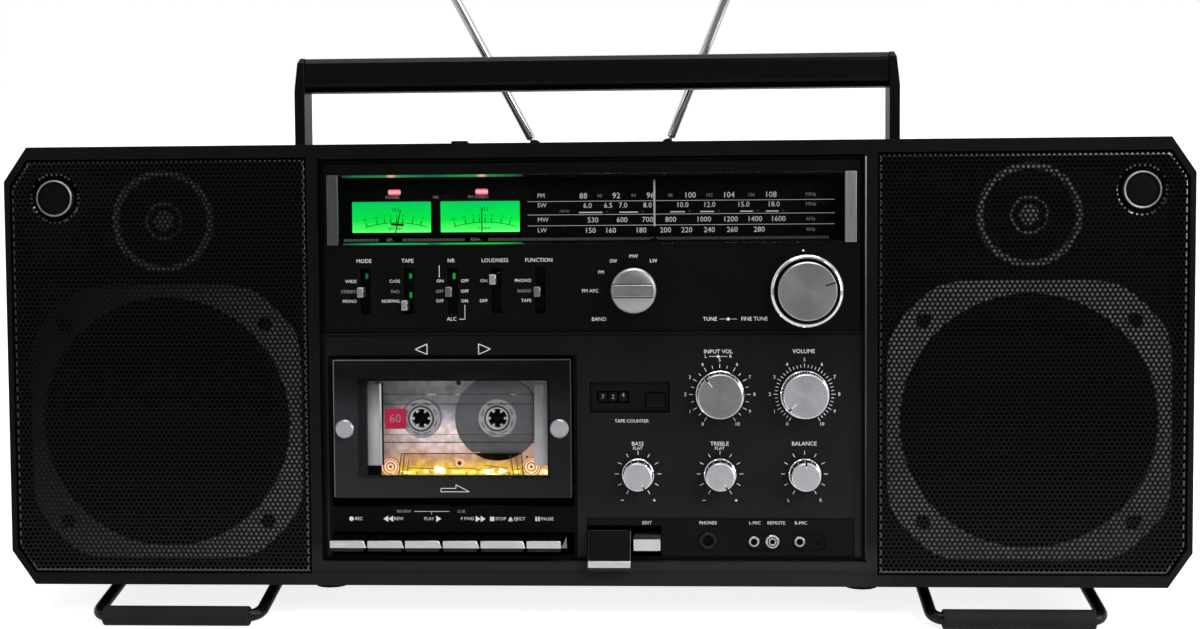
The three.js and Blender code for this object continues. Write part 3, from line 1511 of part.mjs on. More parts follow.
// ================================================================ tilt feet
// A bent wire with a sleeve on its bar, the fold axis at the origin.
function footBail() {
  const bar = new THREE.Vector3(0, -bailForward, -bailDrop);
  const along = bar.clone().normalize();
  const section = new THREE.Shape();
  section.absarc(0, 0, bailRadius, 0, 2 * Math.PI);
  const wire = (path, steps) => solid(new THREE.ExtrudeGeometry(section, {
    steps, curveSegments: 6, extrudePath: path,
  }));
  const turn = bailHalf - bailCorner + 0.5;
  const pieces = [
    rodX(bailRadius, -turn, turn, bar.y, bar.z, collarFaces),
    rodX(sleeveRadius, -sleeveLength / 2, sleeveLength / 2, bar.y, bar.z, rimFaces),
  ];
  for (const end of [-1, 1]) {
    const legTop = new THREE.Vector3(end * bailHalf, 0, 0);
    const turnAt = new THREE.Vector3(end * bailHalf, bar.y, bar.z);
    const before = turnAt.clone().addScaledVector(along, -bailCorner);
    const after = turnAt.clone().add(new THREE.Vector3(-end * bailCorner, 0, 0));
    pieces.push(wire(new THREE.LineCurve3(legTop, before), 1));
    pieces.push(wire(new THREE.QuadraticBezierCurve3(before, turnAt, after), 5));
    const inner = end * (bailHalf - bailRadius + 0.4);
    const outer = end * (bailHalf + bailRadius);
    const tip = end * (bailHalf + bailRadius + bailPinLength);
    pieces.push(rodX(bailPinRadius, Math.min(inner, tip), Math.max(inner, tip), 0, 0, shaftFaces));
    pieces.push(rodX(bailRadius, Math.min(inner, outer), Math.max(inner, outer), 0, 0, collarFaces));
  }
  return join(...pieces);
}
for (const [name, side] of sides) {
  place(`foot_bail_${name}`, footBail(), rubberBlack, side * bailX, bailPivotDepth, bailPivotZ);
}

// ================================================================ antennas
const clevisHalf = antennaTang / 2 + seatGap;

function antennaBase() {
  const h = antennaTurretHeight;
  const stem = rodZ(antennaStemRadius, -antennaStemLength + seatGap, seatGap + overrun, 0, 0, shaftFaces);
  let base = join(rodZ(antennaTurretRadius, seatGap, h, 0, 0, rimFaces), stem);
  for (const end of [-1, 1]) {
    const near = end * clevisHalf;
    const far = end * (clevisHalf + antennaEar);
    const low = Math.min(near, far);
    const high = Math.max(near, far);
    const ear = join(
      block(-antennaEarRadius, antennaEarRadius, low, high, h - overrun, antennaPivotHeight),
      rodY(antennaEarRadius, low, high, 0, antennaPivotHeight, collarFaces),
    );
    base = join(base, ear);
  }
  const pin = rodY(
    antennaPinRadius, -clevisHalf - overrun, clevisHalf + overrun, 0, antennaPivotHeight, pinFaces,
  );
  return join(base, pin);
}

// The outer tube stands on a flat tang; its pivot is at the origin.
function antennaTube() {
  const half = antennaTang / 2;
  const tang = join(
    rodY(antennaTubeRadius, -half, half, 0, 0, collarFaces),
    block(-antennaTubeRadius, antennaTubeRadius, -half, half, 0, antennaTangTop + overrun),
  );
  const tube = rodZ(antennaTubeRadius, antennaTangTop, antennaTubeLength, 0, 0, collarFaces);
  const bore = rodZ(
    antennaTubeBore, antennaTangTop + antennaTubeFloor, antennaTubeLength + overrun, 0, 0, shaftFaces,
  );
  const pinHole = rodY(antennaPinRadius + seatGap, -antennaTang, antennaTang, 0, 0, pinFaces);
  return cut(join(tang, cut(tube, bore)), pinHole);
}

function antennaMast() {
  const top = antennaTubeLength + seatGap;
  return turnedUp([
    [0, antennaMastShort + seatGap], [antennaMastRadius, antennaMastShort + seatGap],
    [antennaMastRadius, top], [antennaTipRadius, top], [antennaTipRadius, top + antennaTipLength - 1],
    [antennaTipRadius - 1, top + antennaTipLength], [0, top + antennaTipLength],
  ], shaftFaces);
}
sides.forEach(([name, side], i) => {
  place(`antenna_base_${name}`, antennaBase(), chrome, side * antennaX, antennaDepth, cabinetHeight);
  const rod = new THREE.Group();
  rod.position.set(side * antennaX, yAt(antennaDepth), cabinetHeight + antennaPivotHeight);
  rod.rotation.y = rad(side * antennaLean[i]);
  for (const [piece, body] of [['tube', antennaTube()], ['mast', antennaMast()]]) {
    const mesh = new THREE.Mesh(geometryOf(body), chrome);
    mesh.name = `antenna_${piece}_${name}`;
    rod.add(mesh);
  }
  assembly.add(rod);
});

export default assembly;
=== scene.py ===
# %% [markdown]
# # A portable stereo radio cassette recorder
# The real one is a black moulded cabinet in a front and a rear half, with a loudspeaker bay at
# each end behind a perforated steel grille. Between them sit a tuner panel and an amplifier
# panel with a cassette deck let into it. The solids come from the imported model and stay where
# they are. This file gives each of them its finish, and makes again in finer mesh the pieces
# whose beauty is in their roundness, their holes or their print.

# %% Load the frame
import json
import math

import bmesh
import bpy
import numpy as np
from mathutils import Matrix, Vector


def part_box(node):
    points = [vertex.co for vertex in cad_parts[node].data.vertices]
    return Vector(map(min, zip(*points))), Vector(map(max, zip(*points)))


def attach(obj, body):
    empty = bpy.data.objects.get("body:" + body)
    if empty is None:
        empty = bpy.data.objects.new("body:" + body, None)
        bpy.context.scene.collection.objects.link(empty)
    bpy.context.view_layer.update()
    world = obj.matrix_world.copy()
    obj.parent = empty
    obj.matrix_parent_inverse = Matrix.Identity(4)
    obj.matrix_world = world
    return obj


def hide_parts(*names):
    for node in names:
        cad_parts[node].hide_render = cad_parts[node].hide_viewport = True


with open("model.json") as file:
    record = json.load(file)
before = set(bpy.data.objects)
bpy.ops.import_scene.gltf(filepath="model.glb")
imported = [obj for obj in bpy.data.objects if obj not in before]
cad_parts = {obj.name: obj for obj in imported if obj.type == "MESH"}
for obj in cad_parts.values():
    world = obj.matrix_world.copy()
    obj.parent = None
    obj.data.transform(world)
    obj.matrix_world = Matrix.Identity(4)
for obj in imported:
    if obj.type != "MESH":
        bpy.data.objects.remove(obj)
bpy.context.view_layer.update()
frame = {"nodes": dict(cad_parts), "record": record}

MM = 0.001
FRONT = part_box("grille_left")[0].y

# %% [markdown]
# ## Measuring
# Everything is drawn as a maker would call it out at the bench: millimetres across, millimetres
# behind the front plane, and millimetres up. One function turns that into metres in the frame,
# and two more read where a solid lies, so no place has to be typed twice.

# %% Bench measure
def at(across, depth, up):
    return Vector((across * MM, FRONT + depth * MM, up * MM))


def limits(node):
    """Left, right, front, back, low and high of a solid in bench millimetres."""
    low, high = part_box(node)
    edges = (low.x, high.x, low.y - FRONT, high.y - FRONT, low.z, high.z)
    return tuple(edge / MM for edge in edges)


def middle(node):
    left, right, _, _, low, high = limits(node)
    return (left + right) / 2, (low + high) / 2


panel_left, panel_right, panel_face, _, panel_low, _ = limits("amplifier_panel")
_, _, tuner_face, _, _, tuner_high = limits("tuner_panel")
print("panels", round(panel_left, 1), round(panel_right, 1), round(panel_low, 1), round(tuner_high, 1))

# %% [markdown]
# ## The camera
# A slightly long lens stands a little left of the middle and just above it, looking level
# enough that the uprights stay upright. It comes first because the view decides which details
# deserve the most care.

# %% Camera
LENS = 47.55
YAW, PITCH, ROLL = 2.76, -2.63, 0.39
STAND = (0.047, -0.941, 0.1897)

lens = bpy.data.cameras.new("studio_camera")
lens.lens = LENS
camera = bpy.data.objects.new("studio_camera", lens)
bpy.context.scene.collection.objects.link(camera)
turn = Matrix.Identity(3)
for degrees, axis in ((YAW, "Z"), (PITCH, "X"), (ROLL, "Y")):
    turn = turn @ Matrix.Rotation(math.radians(degrees), 3, axis)
right, forward, upward = (turn.col[i] for i in range(3))
facing = Matrix((right, upward, -forward)).transposed().to_4x4()
camera.matrix_world = Matrix.Translation(STAND) @ facing
bpy.context.scene.camera = camera
print("camera at", [round(v, 3) for v in camera.matrix_world.translation])

# %% [markdown]
# ## Finishes
# A finish is a colour, a roughness and a relief, and none of them is the same everywhere on a
# real surface. Noise in object space keeps each grain at its true size in metres and stays on
# the piece when it moves. Values that are the same all over are set straight on the shader.

# %% Node helpers
def new_finish(name):
    finish = bpy.data.materials.new(name)
    finish.use_nodes = True
    return finish, finish.node_tree, finish.node_tree.nodes["Principled BSDF"]


def fill(tree, node, values):
    """Gives sockets of a node a plain value, or links what another node made."""
    for name, value in values.items():
        if isinstance(value, bpy.types.NodeSocket):
            tree.links.new(value, node.inputs[name])
        else:
            node.inputs[name].default_value = value


def place_of(tree, stretch=(1, 1, 1)):
    """Object coordinates, stretched by three factors."""
    place = tree.nodes.new("ShaderNodeTexCoord")
    scaling = tree.nodes.new("ShaderNodeMapping")
    fill(tree, scaling, {"Scale": stretch, "Vector": place.outputs["Object"]})
    return scaling.outputs["Vector"]


def noise(tree, scale, detail=2, stretch=(1, 1, 1)):
    texture = tree.nodes.new("ShaderNodeTexNoise")
    fill(tree, texture, {"Scale": scale, "Detail": detail, "Vector": place_of(tree, stretch)})
    return texture.outputs["Fac"]


def between(tree, factor, low, high, start=0, end=1):
    """A number that runs from low to high as the factor runs from start to end."""
    spread = tree.nodes.new("ShaderNodeMapRange")
    fill(tree, spread, {"From Min": start, "From Max": end, "To Min": low, "To Max": high, "Value": factor})
    return spread.outputs["Result"]


def run_along(tree, axis, start, end, low=0, high=1):
    """A number that runs from low to high along X, Y or Z, from start to end in millimetres."""
    parts = tree.nodes.new("ShaderNodeSeparateXYZ")
    fill(tree, parts, {"Vector": place_of(tree)})
    return between(tree, parts.outputs[axis], low, high, start * MM, end * MM)


def combine(tree, operation, one, two):
    """Two numbers added, multiplied or compared, each plain or made by another node."""
    sum_up = tree.nodes.new("ShaderNodeMath")
    sum_up.operation = operation
    fill(tree, sum_up, {0: one, 1: two})
    return sum_up.outputs["Value"]


def wavering(tree, value, amount, scale, detail=3, stretch=(1, 1, 1)):
    """The value, pushed a little up and down by noise."""
    return combine(tree, "ADD", value, between(tree, noise(tree, scale, detail, stretch), -amount, amount))


def ramp(tree, factor, stops):
    """A colour that runs through stops of (place, colour). A lone number stands for a grey."""
    band = tree.nodes.new("ShaderNodeValToRGB")
    points = band.color_ramp.elements
    while len(points) < len(stops):
        points.new(0.5)
    for point, (place, colour) in zip(points, stops):
        point.position = place
        point.color = (*(colour if isinstance(colour, tuple) else (colour,) * 3), 1)
    tree.links.new(factor, band.inputs["Fac"])
    return band.outputs["Color"]


def tinted(tree, colour, tint):
    """One colour multiplied by another."""
    blend = tree.nodes.new("ShaderNodeMix")
    blend.data_type = "RGBA"
    blend.blend_type = "MULTIPLY"
    fill(tree, blend, {"Factor": 1, "A": colour, "B": tint})
    return blend.outputs["Result"]


def shade(colour, factor):
    return tuple(min(1, c * factor) for c in colour)


def mottled(tree, colour, scale, detail, darkest, palest, start=0.3, end=0.7):
    """The colour in broad patches, from a darker to a paler share of itself."""
    stops = [(start, shade(colour, darkest)), (end, shade(colour, palest))]
    return ramp(tree, noise(tree, scale, detail), stops)


def relief(tree, shader, height, depth):
    bump = tree.nodes.new("ShaderNodeBump")
    fill(tree, bump, {"Distance": depth * MM, "Height": height})
    tree.links.new(bump.outputs["Normal"], shader.inputs["Normal"])


print("helpers ready")

# %% [markdown]
# ### Black plastics, enamels and inks
# The cabinet is moulded in a spark-eroded tool, so it carries a fine pebble grain, while the
# panels are satin and the keys are polished. Enamelled steel, cone paper, rubber and printed
# ink follow the same recipe with another grain size, depth and sheen. The front shell and the
# amplifier panel also get a painted sheen as a second colour: painted light, paler low down on
# the front and fading upwards. It is let through by height, by place across, and only on what
# faces forward.

# %% Plastics and enamels
def plastic(name, colour, roughness, specular, grain, depth, mottle=0.18):
    finish, tree, shader = new_finish(name)
    fine = noise(tree, grain, 3)
    fill(tree, shader, {
        "Base Color": mottled(tree, colour, 35, 4, 1 - mottle, 1 + mottle),
        "Roughness": between(tree, fine, roughness - 0.07, roughness + 0.07, 0.3, 0.7),
        "Specular IOR Level": specular,
    })
    relief(tree, shader, fine, depth)
    return finish


cabinet_black = plastic("grained_black_plastic", (0.0035, 0.0035, 0.0037), 0.45, 0.08, 1500, 0.03)
panel_black = plastic("satin_black_panel", (0.0045, 0.0045, 0.0047), 0.42, 0.09, 2600, 0.008)
tuner_black = plastic("satin_black_tuner_panel", (0.0025, 0.0025, 0.0026), 0.42, 0.07, 2600, 0.008)
gloss_black = plastic("polished_black_plastic", (0.0025, 0.0025, 0.0028), 0.1, 0.26, 500, 0.0006)
grille_black = plastic("grille_enamel", (0.0008, 0.0008, 0.0008), 0.24, 0.16, 2200, 0.004)
drawn_enamel = plastic("grille_enamel_drawn_thin", (0.006, 0.006, 0.006), 0.2, 0.9, 2200, 0.004)
handle_black = plastic("handle_enamel", (0.002, 0.002, 0.0022), 0.3, 0.12, 1400, 0.006)
wire_black = plastic("wire_enamel", (0.004, 0.004, 0.0042), 0.3, 0.2, 1200, 0.006)
rubber_black = plastic("black_rubber", (0.011, 0.011, 0.011), 0.75, 0.2, 1800, 0.02)
cone_black = plastic("cone_paper", (0.004, 0.004, 0.004), 0.85, 0.1, 900, 0.08)
painted_shade_driver_enamel = plastic("driver_enamel_painted_shade", (0.17, 0.17, 0.175), 0.5, 0.3, 500, 0.002)
driver_grey = plastic("driver_grey_enamel", (0.42, 0.42, 0.425), 0.5, 0.3, 1300, 0.01)
tray_black = plastic("smooth_tray_black", (0.004, 0.004, 0.0042), 0.7, 0.04, 300, 0.0002)
inner_black = plastic("inner_black_plastic", (0.0022, 0.0022, 0.0024), 0.6, 0.06, 1200, 0.02)
board_green = plastic("resist_green_board", (0.03, 0.07, 0.035), 0.5, 0.4, 900, 0.01)
ink_white = plastic("printed_white_ink", (0.86, 0.87, 0.88), 0.6, 0.2, 2500, 0.002, 0.08)
ink_grey = plastic("printed_grey_ink", (0.36, 0.365, 0.37), 0.6, 0.2, 2500, 0.002, 0.08)
ink_red = plastic("printed_red_ink", (0.8, 0.02, 0.1), 0.5, 0.3, 2500, 0.002, 0.08)
print("plastics", len(bpy.data.materials))

# %% The painted sheen
def add_dust(finish, colour, bands):
    """Painted sheen: a pale second colour where every band (axis, start, end, stops) lets it through."""
    tree = finish.node_tree
    shader = tree.nodes["Principled BSDF"]
    unsheened = shader.inputs["Base Color"].links[0].from_socket
    share = 1
    for axis, start, end, stops in bands:
        share = combine(tree, "MULTIPLY", share, ramp(tree, run_along(tree, axis, start, end), stops))
    sheen_layer = tree.nodes.new("ShaderNodeMix")
    sheen_layer.data_type = "RGBA"
    fill(tree, sheen_layer, {"Factor": share, "A": unsheened, "B": (*colour, 1)})
    tree.links.new(sheen_layer.outputs["Result"], shader.inputs["Base Color"])
    return finish


# Painted sheen on the front shell and the amplifier panel: painted light, paler low down and fading upwards.
sheen_painted_black = plastic("grained_black_painted_sheen", (0.0032, 0.0032, 0.0034), 0.45, 0.08, 1500, 0.03)
add_dust(sheen_painted_black, (0.026, 0.0262, 0.0272), (
    ("Z", 0, 244, ((0, 0.7), (0.025, 0.8), (0.03, 0.5), (0.04, 1), (0.075, 0.9), (0.1, 0.35),
                   (0.5, 0.1), (0.6, 0))),
    ("X", -326, 326, ((0, 0.05), (0.2, 0.25), (0.28, 0.7), (0.5, 0.8), (0.72, 1), (0.76, 0.4),
                      (1, 0.35))),
    ("Y", -76, -66, ((0, 1), (0.5, 1), (1, 0))),
))
sheen_painted_panel = plastic("satin_black_panel_painted_sheen", (0.0042, 0.0042, 0.0044), 0.42, 0.09, 2600, 0.008)
add_dust(sheen_painted_panel, (0.022, 0.0222, 0.023), (
    ("Z", 0, 244, ((0.05, 0.75), (0.2, 0.45), (0.4, 0.3), (0.56, 0.05))),
    ("Y", -73.3, -72.5, ((0.45, 1), (0.6, 0))),
))
print("painted sheen on", sheen_painted_black.name, sheen_painted_panel.name)

# %% [markdown]
# ### Metals
# Turned aluminium shows circles, brushed aluminium shows straight hairlines, and chrome shows
# only the room. The circles come from rings round the piece's own axis, the hairlines from
# noise stretched along the stroke.

# %% Metals
def metal(name, colour, roughness, scratch, depth, stretch=(1, 1, 1)):
    finish, tree, shader = new_finish(name)
    lines = noise(tree, scratch, 3, stretch)
    fill(tree, shader, {
        "Base Color": mottled(tree, colour, 60, 3, 0.88, 1.08, 0.25, 0.75),
        "Roughness": between(tree, lines, roughness * 0.8, roughness * 1.2, 0.3, 0.7),
        "Metallic": 1,
    })
    relief(tree, shader, lines, depth)
    return finish


def rings(name, colour, roughness, pitch, depth):
    """Aluminium faced on a lathe: fine circles round the axis that runs front to back."""
    finish, tree, shader = new_finish(name)
    wave = tree.nodes.new("ShaderNodeTexWave")
    wave.wave_type = "RINGS"
    wave.rings_direction = "Y"
    fill(tree, wave, {"Scale": 1 / (pitch * MM) / 20, "Distortion": 0.6, "Vector": place_of(tree)})
    tangent = tree.nodes.new("ShaderNodeTangent")
    tangent.direction_type = "RADIAL"
    tangent.axis = "Y"
    fill(tree, shader, {
        "Base Color": mottled(tree, colour, 90, 3, 0.9, 1.06, 0.25, 0.75),
        "Roughness": between(tree, wave.outputs["Fac"], roughness * 0.85, roughness * 1.15),
        "Metallic": 1,
        "Anisotropic": 0.45,
        "Tangent": tangent.outputs["Tangent"],
    })
    relief(tree, shader, wave.outputs["Fac"], depth)
    return finish


knob_metal = rings("turned_aluminium", (0.62, 0.63, 0.665), 0.3, 0.12, 0.0006)
painted_shade_knob_metal = rings("turned_aluminium_painted_shade", (0.34, 0.345, 0.36), 0.3, 0.12, 0.0006)
tuner_metal = rings("turned_grey_aluminium", (0.36, 0.36, 0.37), 0.32, 0.12, 0.0006)
key_metal = metal("brushed_key_metal", (0.68, 0.69, 0.72), 0.28, 900, 0.002, (0.05, 1, 1))
painted_shade_bar_metal = metal("brushed_bar_metal_painted_shade", (0.11, 0.112, 0.114), 0.42, 900, 0.003, (1, 1, 0.05))
bright_bar_metal = metal("bright_bar_metal", (0.28, 0.285, 0.29), 0.42, 900, 0.003, (1, 1, 0.05))
chrome = metal("polished_chrome", (0.74, 0.75, 0.77), 0.08, 300, 0.0004)
zinc = metal("zinc_plate", (0.4, 0.41, 0.43), 0.4, 700, 0.004)
print("metals", len(bpy.data.materials))

# %% [markdown]
# ### Clear and glowing finishes
# The dial window and the door window are acrylic sheet. A sheet that thin needs no bent light:
# it lets the view through a little dimmed and adds a reflection that grows towards the edge,
# which renders without grain and lets the lamps in. The meter faces are lit from below through
# green film, so the colour runs from yellow green at the lower edge to blue green above.

# %% Clear sheet and lamp colours
def clear_sheet(name, tint, roughness):
    finish, tree, shader = new_finish(name)
    tree.nodes.remove(shader)
    through = tree.nodes.new("ShaderNodeBsdfTransparent")
    gloss = tree.nodes.new("ShaderNodeBsdfGlossy")
    edge = tree.nodes.new("ShaderNodeLayerWeight")
    mix = tree.nodes.new("ShaderNodeMixShader")
    fill(tree, through, {"Color": mottled(tree, tint, 14, 3, 1, 0.93, 0.3, 0.75)})
    fill(tree, gloss, {"Roughness": between(tree, noise(tree, 25, 3), roughness * 0.6, roughness * 1.6)})
    fill(tree, edge, {"Blend": 0.5})
    share = combine(tree, "POWER", edge.outputs["Facing"], 2.5)
    fill(tree, mix, {"Fac": share, 1: through.outputs["BSDF"], 2: gloss.outputs["BSDF"]})
    tree.links.new(mix.outputs["Shader"], tree.nodes["Material Output"].inputs["Surface"])
    return finish


def glow(name, axis, start, end, stops, strength, base=(0.01, 0.01, 0.01), wobble=0, wobble_scale=60):
    """Light that runs through stops of colour along one axis, from start to end in millimetres."""
    finish, tree, shader = new_finish(name)
    along = run_along(tree, axis, start, end)
    if wobble:
        along = wavering(tree, along, wobble, wobble_scale)
    fill(tree, shader, {
        "Emission Color": ramp(tree, along, stops),
        "Emission Strength": strength,
        "Base Color": (*base, 1),
        "Roughness": 0.5,
        "Specular IOR Level": 0.1,
    })
    return finish


window_clear = clear_sheet("smoked_dial_acrylic", (0.94, 0.94, 0.95), 0.05)
door_clear = clear_sheet("clear_door_acrylic", (0.97, 0.97, 0.97), 0.05)
print("clear sheets", window_clear.name, door_clear.name)

# %% [markdown]
# ## Making mesh
# Four ways of making cover almost every piece here: a flat outline cut from sheet, a profile
# turned on a lathe, a wire bent round a path, and print set from the plain stroke alphabet that
# comes with the program. Each one adds closed skin to a mesh in hand, so one piece can gather
# several. First come the outlines, then the ways of making.

# %% Outlines
def strip(x0, x1, z0, z1):
    return [(x0, z0), (x1, z0), (x1, z1), (x0, z1)]


def soft_strip(x0, x1, z0, z1, radius, steps=4):
    """A rectangle with rounded corners."""
    points = []
    corners = ((x1 - radius, z0 + radius, -90), (x1 - radius, z1 - radius, 0),
               (x0 + radius, z1 - radius, 90), (x0 + radius, z0 + radius, 180))
    for x, z, start in corners:
        for i in range(steps + 1):
            angle = math.radians(start + 90 * i / steps)
            points.append((x + radius * math.cos(angle), z + radius * math.sin(angle)))
    return points


def slanted(x0, z0, x1, z1, width):
    """A straight line of print from one point to another."""
    along = Vector((x1 - x0, z1 - z0)).normalized() * width / 2
    side = (-along.y, along.x)
    return [(x0 - side[0], z0 - side[1]), (x1 - side[0], z1 - side[1]),
            (x1 + side[0], z1 + side[1]), (x0 + side[0], z0 + side[1])]


def pointing(angle, radius):
    """A spot this far from the axis at an angle clockwise from upright."""
    return radius * math.sin(math.radians(angle)), radius * math.cos(math.radians(angle))


def spoke(x, z, angle, near, far, width):
    """A straight line that points away from an axis, from one radius to another."""
    a, b = pointing(angle, near), pointing(angle, far)
    return slanted(x + a[0], z + a[1], x + b[0], z + b[1], width)


def round_outline(x, z, radius, steps=24):
    turn = [2 * math.pi * i / steps for i in range(steps)]
    return [(x + radius * math.cos(a), z + radius * math.sin(a)) for a in turn]


def washer(inner, outer, front, back):
    """The closed lathe profile of a flat ring."""
    return [(inner, front), (outer, front), (outer, back), (inner, back), (inner, front)]


print("outlines ready")

# %% Sheet, lathe and wire
def cut_sheet(mesh, outline, front, back):
    """A closed plate with this outline of (across, up), from one depth to another."""
    near = [mesh.verts.new(at(x, front, z)) for x, z in outline]
    far = [mesh.verts.new(at(x, back, z)) for x, z in outline]
    count = len(outline)
    faces = [mesh.faces.new(near), mesh.faces.new(far[::-1])]
    for i in range(count):
        j = (i + 1) % count
        faces.append(mesh.faces.new((near[j], near[i], far[i], far[j])))
    return faces


def circle_loop(mesh, centre, side, other, radius, steps):
    turns = (2 * math.pi * i / steps for i in range(steps))
    return [mesh.verts.new(centre + (side * math.cos(a) + other * math.sin(a)) * radius * MM) for a in turns]


def turn_on_lathe(mesh, profile, origin, axis=(0, 1, 0), steps=48):
    """Turns (radius, distance) pairs in millimetres round an axis through the origin."""
    axis = Vector(axis).normalized()
    side = axis.orthogonal().normalized()
    other = axis.cross(side)
    loops = []
    for radius, along in profile:
        centre = origin + axis * along * MM
        if radius == 0:
            loops.append([mesh.verts.new(centre)])
        else:
            loops.append(circle_loop(mesh, centre, side, other, radius, steps))
    for one, two in zip(loops, loops[1:]):
        for i in range(steps):
            j = (i + 1) % steps
            corners = [one[i % len(one)], one[j % len(one)], two[j % len(two)], two[i % len(two)]]
            unique = list(dict.fromkeys(corners))
            if len(unique) > 2:
                mesh.faces.new(unique)
    if len(loops[0]) > 1 and len(loops[-1]) > 1 and profile[0] == profile[-1]:
        bmesh.ops.remove_doubles(mesh, verts=loops[0] + loops[-1], dist=1e-7)


def bend_wire(mesh, path, radius):
    """A round wire along points of the frame, closed at both ends."""
    steps = 20
    loops = []
    side = None
    for i, point in enumerate(path):
        before, after = path[max(i - 1, 0)], path[min(i + 1, len(path) - 1)]
        axis = (after - before).normalized()
        side = axis.orthogonal() if side is None else side - axis * side.dot(axis)
        side = side.normalized()
        loops.append(circle_loop(mesh, point, side, axis.cross(side), radius, steps))
    for one, two in zip(loops, loops[1:]):
        for k in range(steps):
            j = (k + 1) % steps
            mesh.faces.new((one[k], one[j], two[j], two[k]))
    mesh.faces.new(loops[0][::-1])
    mesh.faces.new(loops[-1])


def plates(*sheets):
    """A new mesh of flat plates, each an outline with the depths of its front and back."""
    mesh = bmesh.new()
    for outline, front, back in sheets:
        cut_sheet(mesh, outline, front, back)
    return mesh


def turned(origin, *profiles, axis=(0, 1, 0), steps=48):
    """A new mesh of profiles turned round one axis."""
    mesh = bmesh.new()
    for profile in profiles:
        turn_on_lathe(mesh, profile, origin, axis, steps)
    return mesh


print("sheet, lathe and wire ready")

# %% Print
INK = 0.05


def print_text(mesh, words, x, z, height, depth, align="CENTER"):
    """Raised print whose capitals have this height, standing on a surface at this depth."""
    letters = bpy.data.curves.new("letters", "FONT")
    letters.body = words
    letters.size = height / 0.7
    letters.align_x = align
    letters.align_y = "CENTER"
    letters.extrude = INK / 2
    letters.resolution_u = 2
    carrier = bpy.data.objects.new("letters", letters)
    skin = bpy.data.meshes.new_from_object(carrier)
    stand = Matrix.Translation(at(x, depth - INK / 2, z))
    skin.transform(stand @ Matrix.Rotation(math.pi / 2, 4, "X") @ Matrix.Scale(MM, 4))
    mesh.from_mesh(skin)
    bpy.data.objects.remove(carrier)
    bpy.data.curves.remove(letters)
    bpy.data.meshes.remove(skin)


def print_words(mesh, rows, depth):
    for words, x, z, height in rows:
        print_text(mesh, words, x, z, height, depth)


def print_shape(mesh, outline, depth):
    cut_sheet(mesh, outline, depth - INK, depth)


def print_loop(mesh, points, width, depth):
    """A printed line that runs through these points and back to the first."""
    for (x0, z0), (x1, z1) in zip(points, points[1:] + points[:1]):
        print_shape(mesh, slanted(x0, z0, x1, z1, width), depth)


print("print stands", INK, "mm proud")

# %% [markdown]
# ## Making a piece
# A piece is a finished mesh on the body it moves with. Curved skin is shaded smooth and sharp
# edges stay sharp. Edges that a tool would break get a small bevel, because a real edge always
# catches a thread of light. A solid that is already the right shape keeps its mesh and only
# gets the bevel and its finish.

# %% Pieces and dressed solids
SHARP_FROM = math.radians(35)
BROKEN_FROM = math.radians(40)


def piece(name, mesh, body, finish, replaces=(), bevel=0, origin=None):
    """A finished mesh on the body it moves with. Its origin is a place in the frame."""
    bmesh.ops.recalc_face_normals(mesh, faces=mesh.faces)
    skin = bpy.data.meshes.new(name)
    mesh.to_mesh(skin)
    mesh.free()
    if origin is not None:
        skin.transform(Matrix.Translation(-origin))
    skin.polygons.foreach_set("use_smooth", [True] * len(skin.polygons))
    skin.set_sharp_from_angle(angle=SHARP_FROM)
    skin.materials.append(finish)
    made = bpy.data.objects.new(name, skin)
    if origin is not None:
        made.location = origin
    bpy.context.scene.collection.objects.link(made)
    if bevel:
        soften(made, bevel)
    bpy.context.view_layer.update()
    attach(made, body)
    if replaces:
        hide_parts(*replaces)
    return made


def soften(made, width, segments=2):
    bevel = made.modifiers.new("broken_edges", "BEVEL")
    bevel.width = width * MM
    bevel.segments = segments
    bevel.limit_method = "ANGLE"
    bevel.angle_limit = BROKEN_FROM
    bevel.harden_normals = False


def dress(node, finish, bevel=0, segments=2):
    """Gives a solid of the frame its finish and broken edges."""
    solid = frame["nodes"][node]
    if not solid.material_slots:
        solid.data.materials.append(finish)
    for held in solid.material_slots:
        held.link = "OBJECT"
        held.material = finish
    if bevel:
        weld = solid.modifiers.new("weld", "WELD")
        weld.merge_threshold = 1e-6
        soften(solid, bevel, segments)
    return solid


bodies = {node: body for body, nodes in frame["record"]["behaviour"]["bodies"].items() for node in nodes}

# %% [markdown]
# ## The cabinet
# Two moulded shells meet a third of the way back. Their solids are already right, so they keep
# their shape and take the grained plastic with softened edges, as the battery cover does. The
# panels are satin. The front shell and the lower panel carry the painted sheen.

# %% Cabinet shells
dress("front_cabinet", sheen_painted_black, 0.7)
for node in ("rear_cabinet", "battery_cover"):
    dress(node, cabinet_black, 0.7)
dress("tuner_panel", tuner_black, 0.5)
dress("amplifier_panel", sheen_painted_panel, 0.35)
dress("amplifier_board", board_green)
dress("deck_chassis", inner_black, 0.2)
dress("dial_plate", tray_black, 0.2)
print("shells dressed")

# %% [markdown]
# ## The perforated grilles
# Each loudspeaker bay has a pressed steel front: thousands of small holes in staggered rows, a
# rolled edge all round, and a shallow dimple round the microphone. A bump map can't show what
# is behind a hole, so the holes are cut for real. Every hole is a six-sided ring of points
# laid out flat, with sheet between neighbouring rings. Then the flat sheet is formed as the
# press does it: rolled back at the edges and pushed in round the microphone. A second skin
# behind and a wall round every hole close it.

# %% Laying out the holes
PITCH = 2.75
ROW = PITCH * math.sqrt(3) / 2
HOLE = 1
SHEET = 0.6
ROLL = 2.6
ROLL_WALL = 3
CORNER_ACROSS, CORNER_UP = 9.9, 14.4
MIC_HOLE = 10.3
DIMPLE_DEPTH = 2
DIMPLE_SIDE = 3
mic_spots = {"left": (-297, 215.7), "right": (297, 215.7)}


